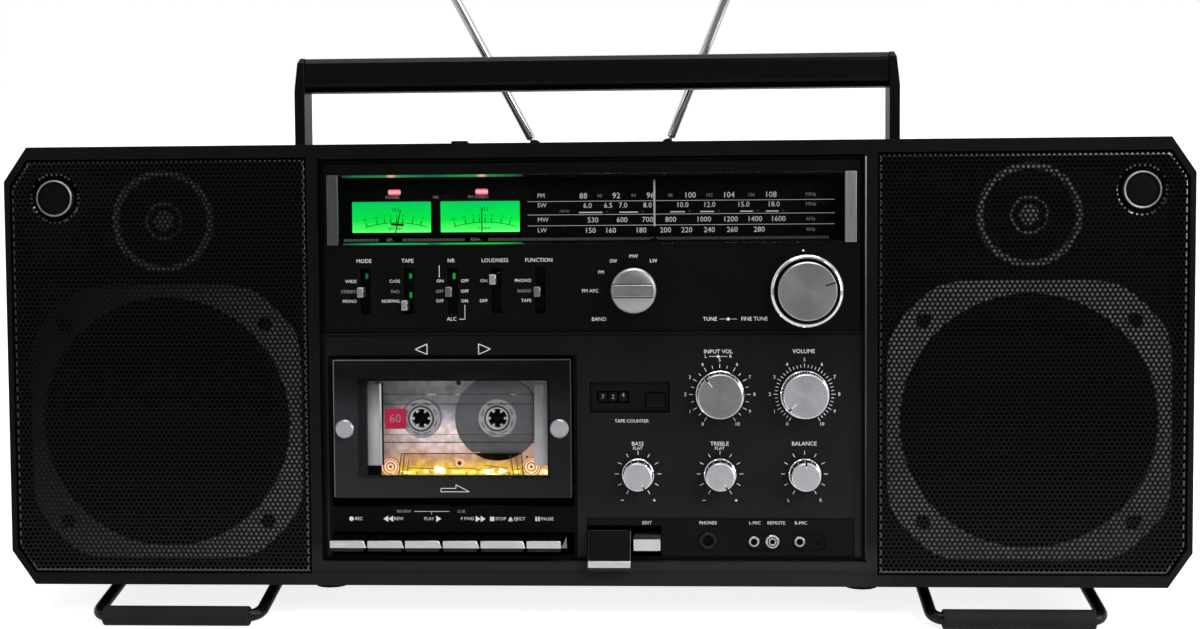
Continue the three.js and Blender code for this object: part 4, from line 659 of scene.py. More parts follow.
def bay_edges(left, right, low, high, side):
    """Straight edges of a bay as (point, inward direction), the bevelled corners among them."""
    inner, outer = (left, right) if side > 0 else (right, left)
    slant = Vector((CORNER_UP, CORNER_ACROSS)).normalized()
    cut = outer - side * CORNER_ACROSS
    return [
        ((inner, low), (side, 0)), ((outer, low), (-side, 0)),
        ((inner, low), (0, 1)), ((inner, high), (0, -1)),
        ((cut, low), (-side * slant.x, slant.y)), ((cut, high), (-side * slant.x, -slant.y)),
    ]


def inset_of(points, edges):
    """How far each point lies inside each edge."""
    return np.stack([(points[:, 0] - p[0]) * n[0] + (points[:, 1] - p[1]) * n[1] for p, n in edges], axis=1)


def form_sheet(points, edges, mic):
    """Flat places (across, up) pressed into (across, depth, up)."""
    depth = np.zeros(len(points))
    place = points.astype(float).copy()
    for (_, normal), inset in zip(edges, inset_of(points, edges).T):
        angle = np.clip((ROLL - inset) / ROLL, 0, math.pi / 2)
        straight = np.clip(ROLL - ROLL * math.pi / 2 - inset, 0, None)
        drawn = ROLL * (1 - np.cos(angle)) + straight
        settled = np.where(inset < ROLL, ROLL - ROLL * np.sin(angle), inset)
        place += np.outer(settled - inset, normal)
        depth = np.maximum(depth, drawn)
    reach = np.hypot(points[:, 0] - mic[0], points[:, 1] - mic[1])
    sink = np.clip((MIC_HOLE + DIMPLE_SIDE + 0.6 - reach) / DIMPLE_SIDE, 0, 1)
    depth += DIMPLE_DEPTH * sink * sink * (3 - 2 * sink)
    return np.stack([place[:, 0], depth, place[:, 1]], axis=1)


def hole_places(edges, box, mic):
    """The number of each hole by its column and row, and where the holes lie on the flat sheet."""
    left, right, _, _, low, high = box
    beyond = ROLL * (math.pi / 2 - 1) + ROLL_WALL
    rows = np.arange(math.floor((low - beyond) / ROW), math.ceil((high + beyond) / ROW) + 1)
    columns = np.arange(math.floor((left - beyond) / PITCH), math.ceil((right + beyond) / PITCH) + 1)
    wanted = {}
    centres = []
    for row in rows:
        for column in columns:
            centre = ((column + (row % 2) / 2) * PITCH, row * ROW)
            inset = inset_of(np.array([centre]), edges).min()
            from_mic = math.hypot(centre[0] - mic[0], centre[1] - mic[1])
            if inset > -beyond and from_mic > MIC_HOLE + 1.5:
                wanted[(column, row)] = len(centres)
                centres.append(centre)
    return wanted, np.array(centres)


print("hole pitch", PITCH, "mm, row", round(ROW, 2), "mm")

# %% [markdown]
# ### Forming the sheet
# Between three neighbouring holes lie a triangle and three narrow bridges, so the whole sheet
# can be built by asking each hole for its neighbours to the east, north-east and north-west.
# Where the press has drawn the sheet over the roll and into the dimple, the enamel is thinner
# and catches more light, so faces that no longer look straight forward get a second finish.

# %% Forming the sheet
# faces round a hole, as (hole, point): hole 0 is this one, 1 east, 2 north-east, 3 north-west
BRIDGES = (
    ((0, 5), (1, 3), (1, 2), (0, 0)), ((0, 0), (2, 4), (2, 3), (0, 1)), ((0, 1), (3, 5), (3, 4), (0, 2)),
    ((0, 0), (1, 2), (2, 4)), ((0, 1), (2, 3), (3, 5)),
)


def flat_faces(wanted):
    """Bridges and triangles between the six-sided holes, as numbers of their points."""
    faces = []
    for (column, row), here in wanted.items():
        shift = row % 2
        around = ((column + 1, row), (column + shift, row + 1), (column + shift - 1, row + 1))
        holes = [here] + [wanted.get(place) for place in around]
        for bridge in BRIDGES:
            if all(holes[hole] is not None for hole, _ in bridge):
                faces.append([6 * holes[hole] + point for hole, point in bridge])
    return faces


DRAWN_FROM, DRAWN_TO = 0.975, 0.15


def formed_grille(side, box, mic):
    """The perforated skin with its back and the walls of its holes, drawn faces marked 1."""
    left, right, _, _, low, high = box
    edges = bay_edges(left, right, low, high, side)
    wanted, centres = hole_places(edges, box, mic)
    corner = [math.radians(30 + 60 * k) for k in range(6)]
    ring = np.array([(math.cos(a), math.sin(a)) for a in corner]) * HOLE
    flat = (centres[:, None, :] + ring[None, :, :]).reshape(-1, 2)
    spread = bpy.data.meshes.new("flat_sheet")
    spread.from_pydata([at(*v) for v in form_sheet(flat, edges, mic)], [], flat_faces(wanted))
    mesh = bmesh.new()
    mesh.from_mesh(spread)
    bpy.data.meshes.remove(spread)
    mesh.verts.ensure_lookup_table()
    loose = [v for v in mesh.verts if not v.link_faces]
    bmesh.ops.delete(mesh, geom=loose, context="VERTS")
    mesh.normal_update()
    front_verts = list(mesh.verts)
    front_faces = list(mesh.faces)
    borders = [e for e in mesh.edges if len(e.link_faces) == 1]
    inward = 1 if sum(f.normal.y for f in front_faces) < 0 else -1
    back = {v: mesh.verts.new(v.co - v.normal * inward * SHEET * MM) for v in front_verts}
    for face in front_faces:
        face.material_index = 1 if DRAWN_TO < abs(face.normal.y) < DRAWN_FROM else 0
        mesh.faces.new([back[v] for v in reversed(face.verts)])
    for edge in borders:
        a, b = edge.verts
        mesh.faces.new((b, a, back[a], back[b]))
    return mesh


for name, side in (("left", -1), ("right", 1)):
    node = f"grille_{name}"
    sheet = formed_grille(side, limits(node), mic_spots[name])
    made = piece(f"perforated_grille_{name}", sheet, bodies[node], grille_black, (node,))
    made.data.materials.append(drawn_enamel)
    print(made.name, len(made.data.polygons), "faces")

# %% [markdown]
# ## Loudspeakers and microphones
# Behind each grille a woofer and a tweeter are screwed to the baffle. Through the holes only
# the woofer's pale frame with its four screw wells and the tweeter's rim can be made out, and
# the paper cone stays dark, so the frame is cut from plate and the cone is turned. A
# microphone looks out of the corner of each grille through a grey ring.

# %% Woofers
PLATE_THICK, SURROUND_WIDE, CORNER_SHARE = 2.6, 7, 0.36
FOUR_CORNERS = [(sx, sz) for sx in (-1, 1) for sz in (-1, 1)]


def chamfered(half, corner, angle):
    """Reach of a square plate with its corners cut and eased, at one angle."""
    c, s = abs(math.cos(angle)), abs(math.sin(angle))
    sides = (max(c, 1e-6) / half, max(s, 1e-6) / half, (c + s) / (2 * half - corner))
    return sum(side ** 22 for side in sides) ** (-1 / 22)


def plate_with_hole(mesh, outline, hole, front, back):
    """A flat plate with one opening, both outlines having as many points."""
    loops = [[mesh.verts.new(at(x, d, z)) for x, z in line]
             for line, d in ((outline, front), (hole, front), (hole, back), (outline, back))]
    for one, two in zip(loops, loops[1:] + loops[:1]):
        for i in range(len(outline)):
            j = (i + 1) % len(outline)
            mesh.faces.new((one[i], one[j], two[j], two[i]))


# The left frame's enamel carries painted light: darkest at the upper left, brightest towards the lower right.
painted_light_frame_enamel, tree, shader = new_finish("driver_grey_enamel_painted_light")
rightward = run_along(tree, "X", -316, -162, 0, 0.55)
downward = run_along(tree, "Z", 13, 167, 0.45, 0)
lit_share = combine(tree, "ADD", rightward, downward)
fill(tree, shader, {
    "Base Color": ramp(tree, wavering(tree, lit_share, 0.08, 60, 4), [
        (0.12, 0.012), (0.35, (0.09, 0.09, 0.092)), (0.62, (0.28, 0.28, 0.285)), (0.95, (0.6, 0.6, 0.61)),
    ]),
    "Roughness": between(tree, noise(tree, 1300, 3), 0.42, 0.58),
    "Specular IOR Level": 0.3,
})
for name, frame_finish in (("left", painted_light_frame_enamel), ("right", driver_grey)):
    node = f"woofer_{name}"
    left, right, front, *_ = limits(node)
    x, z = middle(node)
    half = (right - left) / 2
    r = half - SURROUND_WIDE
    angles = [2 * math.pi * i / 144 for i in range(144)]
    reaches = [chamfered(half, half * CORNER_SHARE, a) for a in angles]
    outline = [(x + reach * math.cos(a), z + reach * math.sin(a)) for reach, a in zip(reaches, angles)]
    hole = [(x + r * math.cos(a), z + r * math.sin(a)) for a in angles]
    frame_mesh = bmesh.new()
    plate_with_hole(frame_mesh, outline, hole, front, front + PLATE_THICK)
    wells = bmesh.new()
    for sx, sz in FOUR_CORNERS:
        boss = at(x + sx * 56.5, front, z + sz * 54.8)
        turn_on_lathe(frame_mesh, [(5.6, 0), (5.6, -0.5), (4.6, -0.5), (4.6, 0), (5.6, 0)], boss, steps=24)
        well = at(x + sx * 57.5, front - 0.32, z + sz * 56)
        turn_on_lathe(wells, [(0, 0), (4.5, 0), (4.5, 0.3), (0, 0.3)], well, steps=24)
    bmesh.ops.remove_doubles(frame_mesh, verts=frame_mesh.verts, dist=1e-7)
    piece(f"woofer_frame_{name}", frame_mesh, bodies[node], frame_finish, bevel=0.4)
    piece(f"woofer_screw_wells_{name}", wells, bodies[node], inner_black)
    cone = turned(at(x, front, z), [
        (0, 15), (r * 0.14, 16), (r * 0.26, 20), (r * 0.84, 5), (r * 0.88, 2.4), (r * 0.92, 1.2),
        (r * 0.96, 2.2), (r, 4.6), (r, 8), (r * 0.42, 26), (r * 0.42, 38), (r * 0.55, 38),
        (r * 0.55, 50), (0, 50),
    ], steps=64)
    piece(f"woofer_cone_{name}", cone, bodies[node], cone_black, (node,))
    print(node, "cone radius", round(r, 1))

# %% [markdown]
# ### Tweeters and microphones
# A tweeter has a narrow metal rim, a small cone in a deep tray and a dust cap at its middle. The
# microphone is a black button in a bright ring that stands a little proud of the dimple in the
# grille. All of these are round, so they come off the lathe as closed profiles.

# %% Tweeters and microphones
# The left rim takes a darker copy of the driver enamel: painted shade.
for name, rim_finish in (("left", painted_shade_driver_enamel), ("right", driver_grey)):
    node = f"tweeter_{name}"
    left, right, front, *_ = limits(node)
    x, z = middle(node)
    r = (right - left) / 2
    rim = turned(at(x, front, z), [
        (r * 0.87, 1.6), (r * 0.89, 0), (r * 0.99, 0), (r, 0.6), (r, 3), (r * 0.87, 3), (r * 0.87, 1.6),
    ], steps=64)
    for profile in (
        [(0, 0.1), (2.2, 0.3), (4.4, 1.2), (5.6, 2.6), (5.6, 3.2), (0, 3.2)],
        [(r * 0.32, 2), (r * 0.33, 1.9), (r * 0.36, 1.9), (r * 0.37, 2.6), (r * 0.32, 2.6),
         (r * 0.32, 2)],
    ):
        turn_on_lathe(rim, profile, at(x, front, z), steps=48)
    piece(f"tweeter_rim_{name}", rim, bodies[node], rim_finish)
    dome = turned(at(x, front, z), [
        (0, 2.5), (r * 0.3, 2.7), (r * 0.5, 2.6), (r * 0.62, 1.6), (r * 0.72, 1.2), (r * 0.86, 2.6),
        (r * 0.86, 3.2), (r * 0.7, 3.4), (r * 0.7, 23), (0, 23),
    ], steps=64)
    piece(f"tweeter_dome_{name}", dome, bodies[node], cone_black, (node,))
    mic_x, mic_z = mic_spots[name]
    ring = turned(at(mic_x, 0, mic_z), [
        (9.05, 0.3), (9.15, -0.9), (9.6, -1.05), (10.05, -0.7), (10.2, 3), (9.05, 3), (9.05, 0.3),
    ], steps=64)
    piece(f"microphone_ring_{name}", ring, "cabinet", bright_bar_metal)
    face = turned(at(mic_x, 0, mic_z), [
        (0, -0.1), (8, -0.1), (8.6, 0), (9.1, 0.45), (9.1, 0.6), (0, 0.6),
    ], steps=64)
    piece(f"microphone_face_{name}", face, "cabinet", inner_black)
    print(node, "rim radius", round(r, 1))

# %% [markdown]
# ## The tuning dial
# The dial is a dark tray behind a smoked window. On its floor are printed four bands of
# numbers, and at its left end two lit meters show the recording level. The print stands a
# hair above the floor as silk-screen ink does, and the scale is the maker's plain one: evenly
# lettered numbers, thin rules between the bands, and a row of fine ticks under everything.

# %% Dial print
TRAY_SKIN = 1.6
tray_floor = limits("dial_plate")[3] - TRAY_SKIN
# name, unit, height up the dial, heights of the figures in turn: the figures and their places
bands = {
    ("FM", "MHz", 214.9, (3.1, 1.9)): (
        ("88", -4), ("90", 5), ("92", 14.2), ("94", 23.7), ("96", 33), ("98", 43.9), ("100", 54.8),
        ("102", 65.3), ("104", 76.1), ("106", 88.4), ("108", 99.1),
    ),
    ("SW", "MHz", 209.6, (2.8,)): (
        ("6.0", -1.7), ("6.5", 9.7), ("7.0", 17.9), ("8.0", 31.4), ("10.0", 50.6), ("12.0", 65.4),
        ("15.0", 84.1), ("18.0", 100.7),
    ),
    ("MW", "kHz", 201.6, (2.9,)): (
        ("530", 1.2), ("600", 17.3), ("700", 31.4), ("800", 44.2), ("1000", 62.3), ("1200", 77),
        ("1400", 90.3), ("1600", 103.2),
    ),
    ("LW", "kHz", 195.8, (2.9,)): (
        ("150", -0.3), ("160", 10.9), ("180", 27.7), ("200", 41.3), ("220", 53), ("240", 65.4),
        ("260", 78), ("280", 92.8),
    ),
}
scale = bmesh.new()
dim = bmesh.new()
for (name, unit, z, heights), numbers in bands.items():
    for n, (number, x) in enumerate(numbers):
        height = heights[n % len(heights)]
        print_text(scale if height > 2 else dim, number, x, z, height, tray_floor)
    print_text(scale, name, -29.6, z + 0.3, 2.4, tray_floor, "LEFT")
    print_text(dim, unit, 121, z, 2.1, tray_floor)
for z in (212.1, 204.7, 198.7):
    print_shape(scale, strip(-35, 134, z - 0.11, z + 0.11), tray_floor)
for x0, x1 in ((-6.5, 6.5), (15.9, 26.1), (44, 52), (60.4, 68), (82.3, 89.4), (96.4, 103.4)):
    print_shape(scale, strip(x0, x1, 205.6, 206.2), tray_floor)
    print_text(dim, "m", x1 + 2.6, 206.3, 0.9, tray_floor)
print_text(dim, "METER", -14.5, 206.6, 1.3, tray_floor)
METER_WORDS = (-111.6, -63.6)
for n in range(269):
    x = -137.6 + n
    if min(abs(x - spot) for spot in METER_WORDS) > 6.2:
        print_shape(dim, slanted(x - 0.1, 190.6, x + 0.1, 192.1, 0.26), tray_floor)
print_words(dim, (
    ("LEFT", METER_WORDS[0], 191.4, 1.6), ("RIGHT", METER_WORDS[1], 191.4, 1.6),
    ("POWER", -110.3, 214.9, 1.6), ("FM STEREO", -62.4, 214.9, 1.6), ("NR", -86, 214.9, 1.6),
), tray_floor)
dial_ink = glow("lit_dial_ink", "X", -140, 130, [
    (0, (0.4, 0.41, 0.42)), (0.6, (0.55, 0.55, 0.56)), (1, (0.42, 0.43, 0.44)),
], 1, wobble=0.05)
dim_dial_ink = glow("dim_dial_ink", "X", -140, 130, [
    (0, (0.22, 0.25, 0.24)), (0.6, (0.17, 0.17, 0.175)), (1, (0.14, 0.14, 0.145)),
], 1, wobble=0.05)
piece("dial_scale_print", scale, "cabinet", dial_ink)
piece("dial_fine_print", dim, "cabinet", dim_dial_ink)
print("dial printed on the floor at depth", round(tray_floor, 2))

# %% [markdown]
# ## Lit meters
# A meter here is a translucent green card over two lamps, printed with its own arc and
# figures, with a needle in front of it. The card is brightest along its lower edge, where the
# lamps sit. The two red lamps above tell that the power is on and that the programme is in
# stereo: a red lens round a core that is too bright to look red.

# %% Meters, needles and lamps
meter_green = glow("lit_meter_card", "Z", 195, 213, [
    (0, (0.14, 0.94, 0.24)), (0.16, (0.05, 0.8, 0.1)), (0.4, (0, 0.66, 0.05)),
    (0.8, (0, 0.56, 0.07)), (1, (0, 0.44, 0.11)),
], 1.5, (0, 0.002, 0), 0.14, 40)
meter_ink = plastic("meter_dark_ink", (0, 0.04, 0.006), 0.6, 0.05, 2500, 0.001)
lamp_red = glow("red_lamp_lens", "Z", 216, 219.5, [
    (0, (0.95, 0.02, 0.06)), (0.3, (1, 0.3, 0.33)), (0.55, (1, 0.62, 0.62)), (0.75, (1, 0.3, 0.33)),
    (1, (0.95, 0.02, 0.06)),
], 1.1)
CARD_HALF, CARD_LOW, CARD_HIGH = 22, 195.5, 212.6
card_face = tray_floor - 1.2
ARC_RADIUS = 59
ARC_LOW = CARD_HIGH - 11.6 - ARC_RADIUS
NEEDLE_UP, NEEDLE_ROOT, NEEDLE_TIP = 193, 1.9, 15.4
METER_MARKS = (
    (-13.6, "-20"), (-7.9, "10"), (-3.6, "7"), (-0.4, "5"), (2.8, "3"), (6.1, "0"), (11.4, "3"), (16, "+"),
)


def meter_print(centre_x, use):
    """The arc, its marks and figures, and what this meter shows."""
    ink = bmesh.new()
    arc = [pointing(-17 + 34 * i / 24, ARC_RADIUS) for i in range(25)]
    points = [(centre_x + 2.6 + across, ARC_LOW + up) for across, up in arc]
    for (x0, z0), (x1, z1) in zip(points, points[1:]):
        print_shape(ink, slanted(x0, z0, x1, z1, 0.3), card_face)
    for across, number in METER_MARKS:
        x = centre_x + across
        lean = (across - 1.8) / 52
        foot = CARD_HIGH - 11.8 - (across - 2.6) ** 2 / 118
        print_shape(ink, slanted(x, foot, x + lean * 2.8, foot + 2.5, 0.42), card_face)
        print_text(ink, number, x + lean * 5.4, foot + 3.9, 1.35, card_face)
    print_text(ink, "VU", centre_x + 2.3, CARD_HIGH - 4.6, 2.3, card_face)
    print_text(ink, use, centre_x + 2.3, CARD_LOW + 2, 1.4, card_face)
    return ink


for name, use, centre_x, pivot_x, lamp_x, tilt in (
    ("left", "BATTERY", -110.7, -108.9, -109, 13),
    ("right", "TUNING", -61.3, -60.2, -60.3, 0),
):
    card = soft_strip(centre_x - CARD_HALF, centre_x + CARD_HALF, CARD_LOW, CARD_HIGH, 0.5, 3)
    piece(f"meter_card_{name}", plates((card, card_face, tray_floor - 0.9)), "cabinet", meter_green)
    piece(f"meter_print_{name}", meter_print(centre_x, use), "cabinet", meter_ink)
    node = f"meter_needle_{name}"
    needle = plates((spoke(pivot_x, NEEDLE_UP, tilt, NEEDLE_ROOT, NEEDLE_TIP, 0.5), 8.75, 9.1))
    hub = turned(at(pivot_x, 9, NEEDLE_UP), [
        (0, -0.5), (1.4, -0.45), (1.8, 0), (1.8, 0.4), (0, 0.4),
    ], steps=24)
    piece(f"needle_hub_{name}", hub, bodies[node], tray_black)
    if name == "left":
        bar_x, bar_z = pivot_x + 6.9 * math.tan(math.radians(tilt)), 199.9
        cut_sheet(needle, slanted(bar_x - 3.4, bar_z + 0.2, bar_x + 3.6, bar_z - 0.2, 1.25), 8.5, 8.75)
    piece(f"needle_{name}", needle, bodies[node], meter_ink, (node,))
    lens = plates((soft_strip(lamp_x - 3.4, lamp_x + 3.4, 216.2, 219.4, 0.9), tray_floor - 1.6, tray_floor))
    piece(f"red_lamp_{name}", lens, "cabinet", lamp_red, bevel=0.3)
print("meters lit")

# %% [markdown]
# ## Pointer, window and its end bars
# The pointer is a thin pale blade on a carriage that runs along the tray. The window slides in
# from the front and is held by two bright bars at its ends. Acrylic carries light inside
# itself, so above and below the meters its polished edges glow green, with a red spot over
# each lamp.

# %% Pointer and window
pointer_pale = plastic("pointer_cream_enamel", (0.75, 0.66, 0.62), 0.4, 0.3, 1500, 0.002, 0.05)
px0, px1, pd0, pd1, pz0, _ = limits("dial_pointer")
pointer_x = (px0 + px1) / 2
blade = plates((soft_strip(pointer_x - 0.55, pointer_x + 0.55, 197.9, 223.6, 0.5, 4), pd0, pd0 + 0.8))
carriage = plates(
    (soft_strip(pointer_x - 0.5, pointer_x + 0.5, pz0, 198.2, 0.2, 3), pd0 + 0.1, pd0 + 0.9),
    (soft_strip(px0, px1, pz0, pz0 + 1.4, 0.3, 3), pd0, pd1),
)
piece("pointer_blade", blade, "dial_pointer", pointer_pale, ("dial_pointer",), bevel=0.15)
piece("pointer_carriage", carriage, "dial_pointer", inner_black, bevel=0.1)

BAR_WIDE, TUCK = 6.2, 0.6
window_left, window_right, window_front, window_back, window_low, window_high = limits("dial_window")
clear = strip(window_left + BAR_WIDE - TUCK, window_right - BAR_WIDE + TUCK, window_low, window_high)
piece("tuning_window", plates((clear, 0.3, window_back)), "cabinet", window_clear,
      ("dial_window",), bevel=0.3)
# The left end bar takes a darker copy of the bar metal: painted shade.
for name, x0, finish in (
    ("left", window_left, painted_shade_bar_metal), ("right", window_right - BAR_WIDE, bright_bar_metal),
):
    bar = plates((soft_strip(x0, x0 + BAR_WIDE, window_low, window_high, 0.3, 3), window_front, window_back))
    piece(f"window_end_bar_{name}", bar, "cabinet", finish, bevel=0.4)
print("window", round(window_left, 1), round(window_right, 1))

# %% Light in the window's edges
DARK_END = (0, 0.01, 0.004)
LAMP_SPOT = (0.95, 0.42, 0.34)
edge_top = glow("window_edge_top_light", "X", -138, -34, [
    (0, DARK_END), (0.1, (0, 0.16, 0.05)), (0.25, (0.02, 0.2, 0.05)), (0.28, LAMP_SPOT),
    (0.31, (0.02, 0.26, 0.08)), (0.5, (0, 0.1, 0.05)), (0.6, (0, 0.22, 0.05)), (0.73, (0.02, 0.3, 0.05)),
    (0.76, LAMP_SPOT), (0.79, (0.02, 0.24, 0.05)), (0.92, (0, 0.12, 0.03)), (1, DARK_END),
], 1, wobble=0.012)
edge_low = glow("window_edge_low_light", "X", -138, -34, [
    (0, DARK_END), (0.08, (0, 0.14, 0.06)), (0.25, (0, 0.42, 0.08)), (0.45, (0, 0.3, 0.05)),
    (0.5, (0, 0.1, 0.05)), (0.56, (0, 0.36, 0.04)), (0.8, (0, 0.5, 0.02)), (0.94, (0, 0.2, 0.02)),
    (1, DARK_END),
], 1, wobble=0.02)
for name, z0, z1, finish in (("top", window_high - 1.4, window_high - 0.1, edge_top),
                             ("low", window_low + 0.1, window_low + 1.1, edge_low)):
    edge = plates((soft_strip(-136, -36.5, z0, z1, 0.4, 3), 0, 0.28))
    piece(f"window_edge_{name}", edge, "cabinet", finish)
print("window edges lit")

# %% [markdown]
# ## Knobs
# Every rotary control is turned from aluminium. The face is flat with fine circles, the side is
# polished, and a pale line with a black mark at the rim shows where it points. The tuner's
# large knob is two in one: a chromed ring for coarse tuning with a dished disc inside it for
# fine tuning. Each knob's mesh is centred on its own axis, so its circles stay true when it
# turns.

# %% Amplifier knobs
SEAT = -0.15


def amplifier_knob(node, angle, mark_from, flat_share, finish=knob_metal):
    """Face, side, pointing line and edge mark of one knob, its line at this angle."""
    left, right, front, back, *_ = limits(node)
    x, z = middle(node)
    r = (right - left) / 2
    face = r * flat_share
    origin = at(x, 0, z)
    cap = turned(origin, [
        (0, front), (face - 0.5, front), (face, front + 0.4), (face - 0.3, front + 1.2), (0, front + 1.2),
    ], steps=72)
    side = turned(origin, [
        (0, front + 1), (face - 0.2, front + 1), (face + 0.3, front + 1.35), (face + 0.35, front + 1.7),
        (r - 0.75, SEAT - 1.3), (r - 0.7, SEAT - 1.15), (r - 0.1, SEAT - 0.75), (r, SEAT - 0.55),
        (r, SEAT + 0.3), (r - 3, back), (0, back),
    ], steps=72)
    line = plates((spoke(x, z, angle, mark_from, face - 0.2, 0.5), front - 0.05, front + 0.1))
    mark = plates((spoke(x, z, angle, face - 1.5, face + 0.5, 0.9), front - 0.08, front + 1.5))
    body = bodies[node]
    name = node.replace("_knob", "")
    piece(f"{name}_knob_face", cap, body, finish, (node,), origin=origin)
    piece(f"{name}_knob_side", side, body, chrome, origin=origin)
    piece(f"{name}_knob_line", line, body, ink_white)
    piece(f"{name}_knob_mark", mark, body, inner_black)
    print(name, "knob radius", round(r, 1))


# The input knob takes a darker copy of the turned aluminium: painted shade.
amplifier_knob("input_level_knob", -40, 6.8, 0.89, painted_shade_knob_metal)
amplifier_knob("volume_knob", -130, 6.8, 0.89)
amplifier_knob("bass_knob", 152, 4.4, 0.84)
amplifier_knob("treble_knob", 152, 4.4, 0.84)
amplifier_knob("balance_knob", 0, 4.4, 0.84)

# %% [markdown]
# ### Tuner knobs
# The coarse ring has a rounded rim and a dished inside, and the fine disc sits in that dish with
# a short black index near its edge. The band knob is a plain drum with a bar left standing
# across it for finger and thumb, so the bar's outline is the drum's own circle cut off above
# and below, with a painted shadow line along each side where it meets the drum.

# %% Tuner knobs
left, right, ring_face, *_ = limits("tuning_knob")
tune_x, tune_z = middle("tuning_knob")
r = (right - left) / 2
origin = at(tune_x, 0, tune_z)
body = bodies["tuning_knob"]
ring = turned(origin, [
    (0, ring_face + 4.2), (r - 2.3, ring_face + 4.2), (r - 2.2, ring_face + 0.8), (r - 2, ring_face + 0.2),
    (r - 1.7, ring_face), (r - 1.4, ring_face + 0.15), (r - 0.3, ring_face + 0.95),
    (r - 0.05, ring_face + 1.4), (r, ring_face + 2.4), (r, -1.2), (r - 0.4, -0.3), (0, -0.3),
], steps=96)
piece("tuning_knob_ring", ring, body, chrome, ("tuning_knob",), origin=origin)
# The dish is black: painted shade in the gap between the ring and the fine disc.
dish_shade = turned(origin, [
    (0, ring_face + 3.9), (r - 2.35, ring_face + 3.9), (r - 2.35, ring_face + 4.2), (0, ring_face + 4.2),
], steps=96)
piece("tuning_knob_dish", dish_shade, body, inner_black, origin=origin)
fine_left, fine_right, fine_front, *_ = limits("fine_tuning_knob")
face = (fine_right - fine_left) / 2 - 1.3
body = bodies["fine_tuning_knob"]
disc = turned(origin, [
    (0, fine_front), (face - 0.7, fine_front), (face, fine_front + 0.6), (face, ring_face + 3.2),
    (face - 0.5, ring_face + 3.7), (0, ring_face + 3.7),
], steps=96)
piece("fine_tuning_disc", disc, body, tuner_metal, ("fine_tuning_knob",), origin=origin)
index = spoke(tune_x, tune_z, 72.5, face * 0.62, face * 0.985, 0.7)
index = plates((index, fine_front - 0.05, fine_front + 0.3))
piece("fine_tuning_index", index, body, inner_black)
print("tuning knob radius", round(r, 1))

# %% Band knob
left, right, front, *_ = limits("band_knob")
band_x, band_z = middle("band_knob")
r = (right - left) / 2
origin = at(band_x, 0, band_z)
body = bodies["band_knob"]
drum = turned(origin, [
    (0, -9), (r - 1.6, -9), (r - 1.35, -8.85), (r - 0.3, -8.1), (r, -7.6), (r, -0.9), (r - 0.4, -0.3),
    (0, -0.3),
], steps=72)
piece("band_knob_body", drum, body, tuner_metal, ("band_knob",), origin=origin)
BAR_HALF = 3.3
reach = r - 1
points = []
for sign in (1, -1):
    for i in range(9):
        z = BAR_HALF * (1 - i / 4) * sign
        points.append((band_x + sign * math.sqrt(reach * reach - z * z), band_z - z))
piece("band_knob_bar", plates((points, front, -8.5)), body, tuner_metal, bevel=0.45, origin=origin)
# Thin black strips along the bar's edges: painted shadow where the bar meets the drum.
shadow_strip_up = BAR_HALF + 0.25
shadow_strip_half = math.sqrt(reach * reach - shadow_strip_up ** 2)
bar_shadow_strips = plates(*(
    (slanted(band_x - shadow_strip_half, band_z + up, band_x + shadow_strip_half, band_z + up, 0.5), -9.06, -8.9)
    for up in (shadow_strip_up, -shadow_strip_up)
))
piece("band_knob_painted_shadow", bar_shadow_strips, body, inner_black, origin=origin)
print("band knob radius", round(r, 1))

# %% [markdown]
# ## Print on the panels
# Round each control the panel carries silk-screened marks: ticks in a circle, numbers from 0
# to 10, plain words for what each control does, and the usual signs for the tape keys. Where
# a maker would put a name, the panel is left bare.

# %% Marks round the controls
marks = bmesh.new()
words = bmesh.new()
faint = bmesh.new()


TICK_WIDE = 0.34


def ticks(x, z, near, far, step, every, depth):
    """Ticks from -150 to 150 degrees, with every so many of them full length."""
    for n in range(round(300 / step) + 1):
        end = far if n % every == 0 else near + (far - near) * 0.72
        print_shape(marks, spoke(x, z, -150 + n * step, near, end, TICK_WIDE), depth)


volume_x, volume_z = middle("volume_knob")
input_x, _ = middle("input_level_knob")
ticks(input_x, volume_z, 14.6, 16.9, 15, 2, panel_face)
ticks(volume_x, volume_z, 14.6, 16.9, 7.5, 4, panel_face)
for x in (input_x, volume_x):
    for number in range(11):
        dx, dz = pointing(-150 + 30 * number, 18.9)
        print_text(words, str(number), x + dx, volume_z + dz, 1.9, panel_face)
SIGN_AWAY, SIGN_HALF, SIGN_LOW, SIGN_HIGH = 8.8, 0.8, 47, 47.35
small_z = middle("bass_knob")[1]
for node, signs in (("bass_knob", "-+"), ("treble_knob", "-+"), ("balance_knob", "LR")):
    x = middle(node)[0]
    ticks(x, small_z, 10.6, 12.8, 30, 1, panel_face)
    for sign, sign_x in zip(signs, (x - SIGN_AWAY, x + SIGN_AWAY)):
        if sign in "LR":
            print_text(words, sign, sign_x, 47.2, 1.8, panel_face)
            continue
        print_shape(marks, strip(sign_x - SIGN_HALF, sign_x + SIGN_HALF, SIGN_LOW, SIGN_HIGH), panel_face)
        if sign == "+":
            print_shape(marks, strip(sign_x - 0.17, sign_x + 0.17, SIGN_LOW - 0.6, SIGN_LOW), panel_face)
            print_shape(marks, strip(sign_x - 0.17, sign_x + 0.17, SIGN_HIGH, SIGN_HIGH + 0.6), panel_face)
print_words(words, (
    ("VOLUME", 116.4, 129.1, 2.2), ("INPUT VOL", 69.8, 129.1, 2.2), ("L", 62.9, 126.5, 1.7),
    ("R", 76.5, 126.5, 1.7), ("BASS", 25.4, 78.4, 2.2), ("FLAT", 25.4, 75.9, 1.7),
    ("TREBLE", 70.4, 78.4, 2.2), ("FLAT", 70.4, 75.9, 1.7), ("BALANCE", 116.6, 78.4, 2.2),
    ("TAPE COUNTER", 22.2, 91, 1.8),
), panel_face)
